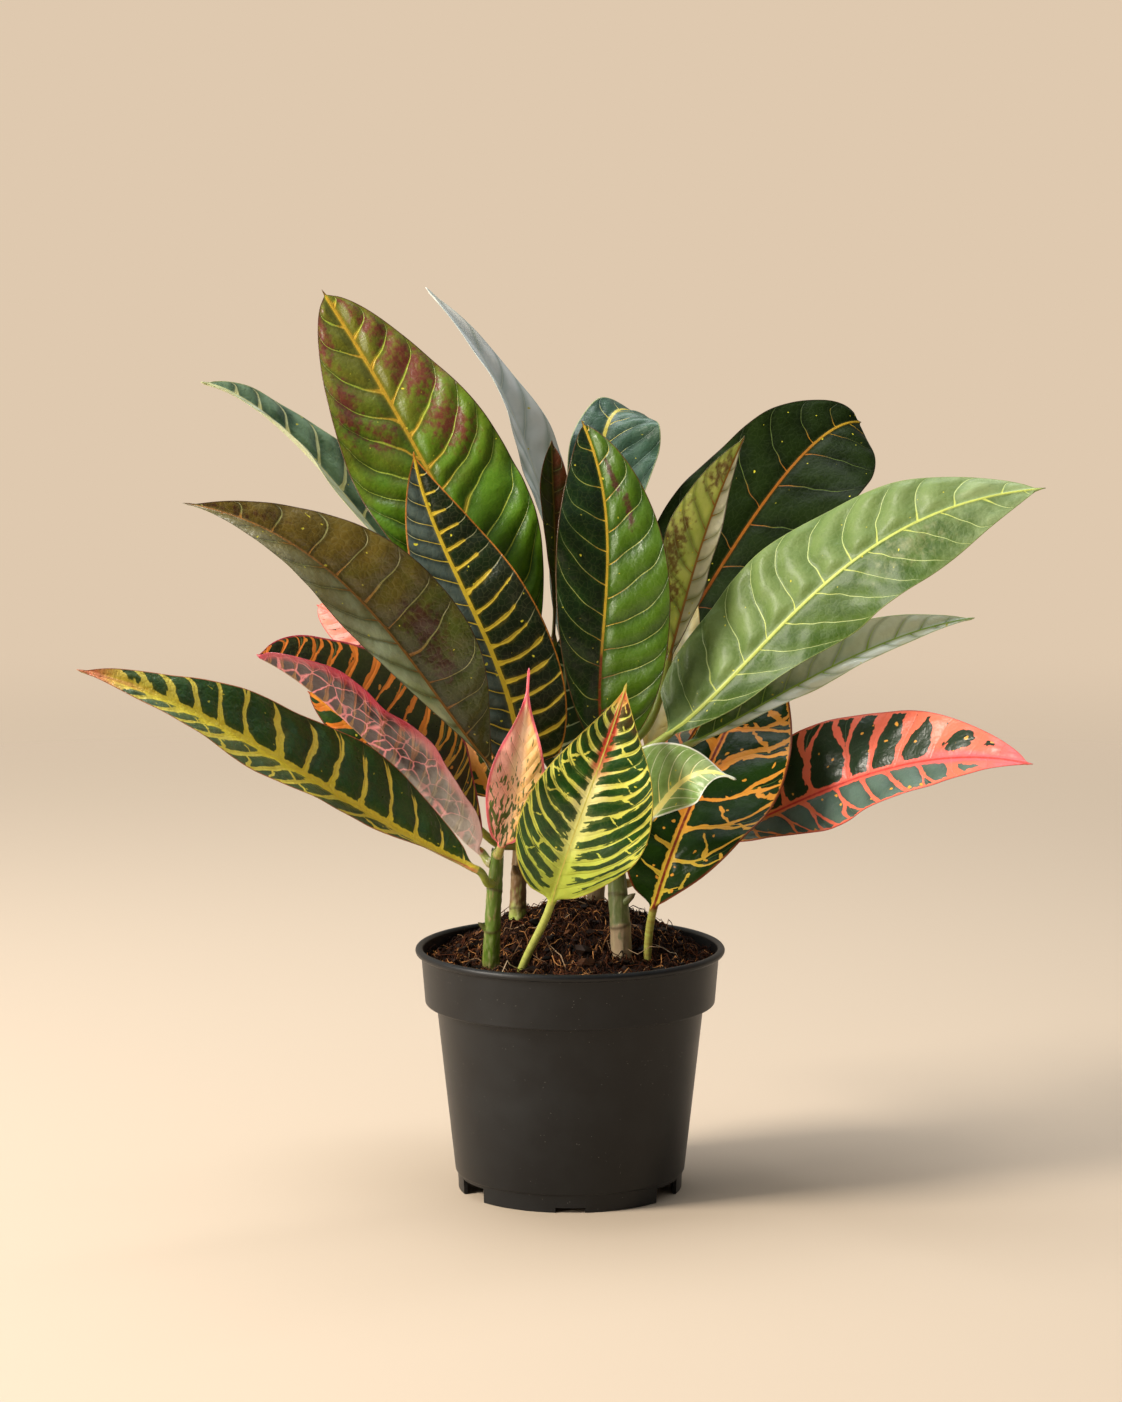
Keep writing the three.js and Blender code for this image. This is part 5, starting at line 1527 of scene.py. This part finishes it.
def stem_finish(name, bark):
    """One bark below, another above, patches and scars between, with wrinkles lengthwise."""
    finish = Finish(name, Specular_IOR_Level=0.4)
    where = finish.place()
    height, scar, _ = finish.field("stem")
    streak = finish.noise(finish.vector_maths("MULTIPLY", where, (1, 1, 0.22)), 1.6, 4)
    cloud = finish.noise(where, 7, 3)
    old = (height + (cloud - 0.5) * 26).step(bark["change"] + 4, bark["change"] - 4)
    base = finish.mix(old, bark["young"], bark["old"])
    base = finish.mix((cloud * 0.6 + streak * 0.6).step(0.62, 0.8) * 0.8, base, bark["patch"])
    base = finish.mix(streak.step(0.45, 0.75) * 0.3, base, "c0b48c")
    base = finish.mix(scar * 0.8, base, "4a3a22")
    gloss = old * 0.25 + streak * 0.15 + 0.38
    relief = streak * (old * 0.8 + 0.25)
    return finish.give(Base_Color=base, Roughness=gloss, Normal=finish.bump(relief, 0.5))


def make_stem(name, stem, bark, material, seed):
    """The stem's tube with its scar rings and ribs, and its side buds as small blunt cones."""
    line, radii = stem_lines[name]
    pick = np.linspace(0, len(line) - 1, 150).astype(int)
    line, radii = line[pick], radii[pick]
    height = line[:, 2:]
    turn = np.linspace(0, 2 * np.pi, SIDES + 1)[:-1][None, :]
    ribs = 0.035 * np.sin(3 * turn + height / 17 + seed) + 0.02 * np.sin(7 * turn - height / 9)
    scar = sum(np.exp(-(((height - at + 1.2 * np.cos(turn + at)) / 0.9) ** 2)) for at in bark["scars"])
    swell = sum(np.exp(-(((height - at) / 3.5) ** 2)) for at in bark["scars"])
    wrinkle = 0.03 * ripple(turn * 5, height / 3, 2.2, seed + 50)
    blunt = np.sqrt(np.clip((len(line) - 1 - np.arange(len(line))) / 6, 0.12, 1))[:, None]
    radius = radii[:, None] * (1 + ribs + 0.035 * scar + 0.025 * swell + wrinkle) * blunt
    rings = round_rings(line, np.array([0.0, -1, 0.2]), radius, SIDES)
    skins = [tube_skin(rings, {"stem": triple(height, scar)})]
    for at, angle, length, thick in stem["spurs"]:
        start = line[int(np.argmin(np.abs(line[:, 2] - at)))]
        out = unit(np.array([math.sin(math.radians(angle)), -math.cos(math.radians(angle)), 0.8]))
        share = np.linspace(0, 1, 12)[:, None]
        bud = start + out * share * (stem["radii"][1] + length)
        taper = thick * (1.15 - 0.8 * share[:, 0] ** 2) * np.sqrt(np.clip((1 - share[:, 0]) * 6, 0.1, 1))
        bud_rings = round_rings(bud, np.array([0.0, 0, 1]), taper, BUD_SIDES)
        dark_tip = smooth(0.45, 0.8, share)
        skins.append(tube_skin(bud_rings, {"stem": triple(bud_rings[..., 2], dark_tip)}))
    return make_object(f"{name}_stem", skins, material)


for number, (name, stem) in enumerate(stems.items()):
    piece = make_stem(name, stem, barks[name], stem_finish(f"{name}_bark", barks[name]), number)
    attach(piece, "root")
    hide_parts(f"stem_{name}")
print("stems made:", len(stems))

# %% [markdown]
# ## Every leaf
# Now each row of the table becomes a leaf, with a material of its own. Its number seeds its
# random relief, so that no two leaves swell alike and each run gives the same plant.

# %% Leaves
for number, (name, leaf) in enumerate(leaves.items()):
    look = look_of(leaf)
    material = leaf_finish(f"{name}_leaf", look, midrib_length(leaf["spine"]))
    piece = make_leaf(f"{name}_leaf", leaf, look, material, 10 * number)
    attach(piece, "root")
    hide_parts(f"leaf_{name}")
blades = [piece for piece in bpy.data.objects if piece.name.endswith("_leaf")]
print("leaves:", sum(len(piece.data.polygons) for piece in blades), "triangles")

# %% [markdown]
# ## Stage
# The plant stands on a plain pale floor in a softly lit room. The floor is one round disc
# that turns clear towards its edge, so that it melts into the room's even colour and no
# horizon cuts through the leaves, from whichever side the plant is seen.

# %% Floor
FLOOR_RADIUS, FLOOR_SIDES = 2700, 96
FADES_FROM, GONE_AT = 700, 2600


def floor_finish():
    """A plain pale floor that turns clear from 0.7 metres outwards."""
    finish = Finish("pale_floor", Roughness=0.75, Base_Color=colour("d1bea8"))
    far = finish.vector_maths("LENGTH", finish.place(), output="Value")
    return finish.give(Alpha=far.step(GONE_AT, FADES_FROM))


spokes = np.arange(FLOOR_SIDES)
turn = np.linspace(0, 2 * np.pi, FLOOR_SIDES + 1)[:-1]
edge = triple(FLOOR_RADIUS * np.cos(turn), FLOOR_RADIUS * np.sin(turn))
fan = np.stack([spokes, (spokes + 1) % FLOOR_SIDES, np.full(FLOOR_SIDES, FLOOR_SIDES)], -1)
floor = make_object("floor", [(np.concatenate([edge, [[0, 0, 0]]]), fan, {})], floor_finish())
print("floor:", 2 * FLOOR_RADIUS * MM, "metres across")

# %% [markdown]
# The room's light comes mostly from the left, from above and from behind the plant, as from a
# window and pale walls. Only the camera sees the room as one even colour: a light path node
# tells its rays from those of the light.

# %% Light
world = bpy.data.worlds.new("soft_room")
bpy.context.scene.world = world
world.use_nodes = True
room = Net(world.node_tree)
side, back, up = room.parts(room.node("ShaderNodeTexCoord", output="Generated"))
light = back.step(-0.2, 0.9) * 0.35 + side.step(-0.2, -0.95) * 0.4 + up.step(0.1, 0.95) * 0.3 + 0.11
glow = room.mix(up.step(0.1, 0.9), "f4dfc4", "e6f0f6")
seen = room.node("ShaderNodeLightPath", output="Is Camera Ray")
shades = room.node("ShaderNodeBackground", None, {"Color": glow, "Strength": light})
wall = room.node("ShaderNodeBackground", None, {"Color": colour("dfc9af"), "Strength": 1.0})
both = room.node("ShaderNodeMixShader", None, {0: seen, 1: shades, 2: wall})
world.node_tree.links.new(both.socket, world.node_tree.nodes["World Output"].inputs["Surface"])


def soft_light(name, place, aim, size, power, tint):
    """A square soft light that looks from a place to an aim, both in metres."""
    lamp = bpy.data.lights.new(name, "AREA")
    lamp.size, lamp.energy, lamp.color = size, power, tint
    obj = bpy.data.objects.new(name, lamp)
    obj.location = place
    obj.rotation_euler = (Vector(aim) - Vector(place)).to_track_quat("-Z", "Y").to_euler()
    bpy.context.scene.collection.objects.link(obj)


soft_light("window", (-2.3, -0.9, 1.75), (0, 0, 0.25), 0.9, 100, (1.0, 0.93, 0.82))
soft_light("wall_bounce", (-1.9, -1.3, 0.45), (0, 0, 0.25), 1.2, 24, (1.0, 0.91, 0.8))
soft_light("sky", (-0.3, 0.5, 2.2), (0, 0, 0.3), 1.2, 26, (0.95, 0.97, 1.0))

print("lamps:", len(bpy.data.lights))

# %% Camera
LOOKS_DOWN = 7.5  # degrees

camera = bpy.data.cameras.new("camera")
camera.lens, camera.sensor_width = 104.5, 36
camera_object = bpy.data.objects.new("camera", camera)
camera_object.location = (-0.005, -2.2, 0.56)
camera_object.rotation_euler = (math.radians(90 - LOOKS_DOWN), 0, 0)
bpy.context.scene.collection.objects.link(camera_object)
bpy.context.scene.camera = camera_object
bpy.context.scene.view_settings.view_transform = "Standard"
print("camera:", camera.lens, "mm lens, at", tuple(camera_object.location))
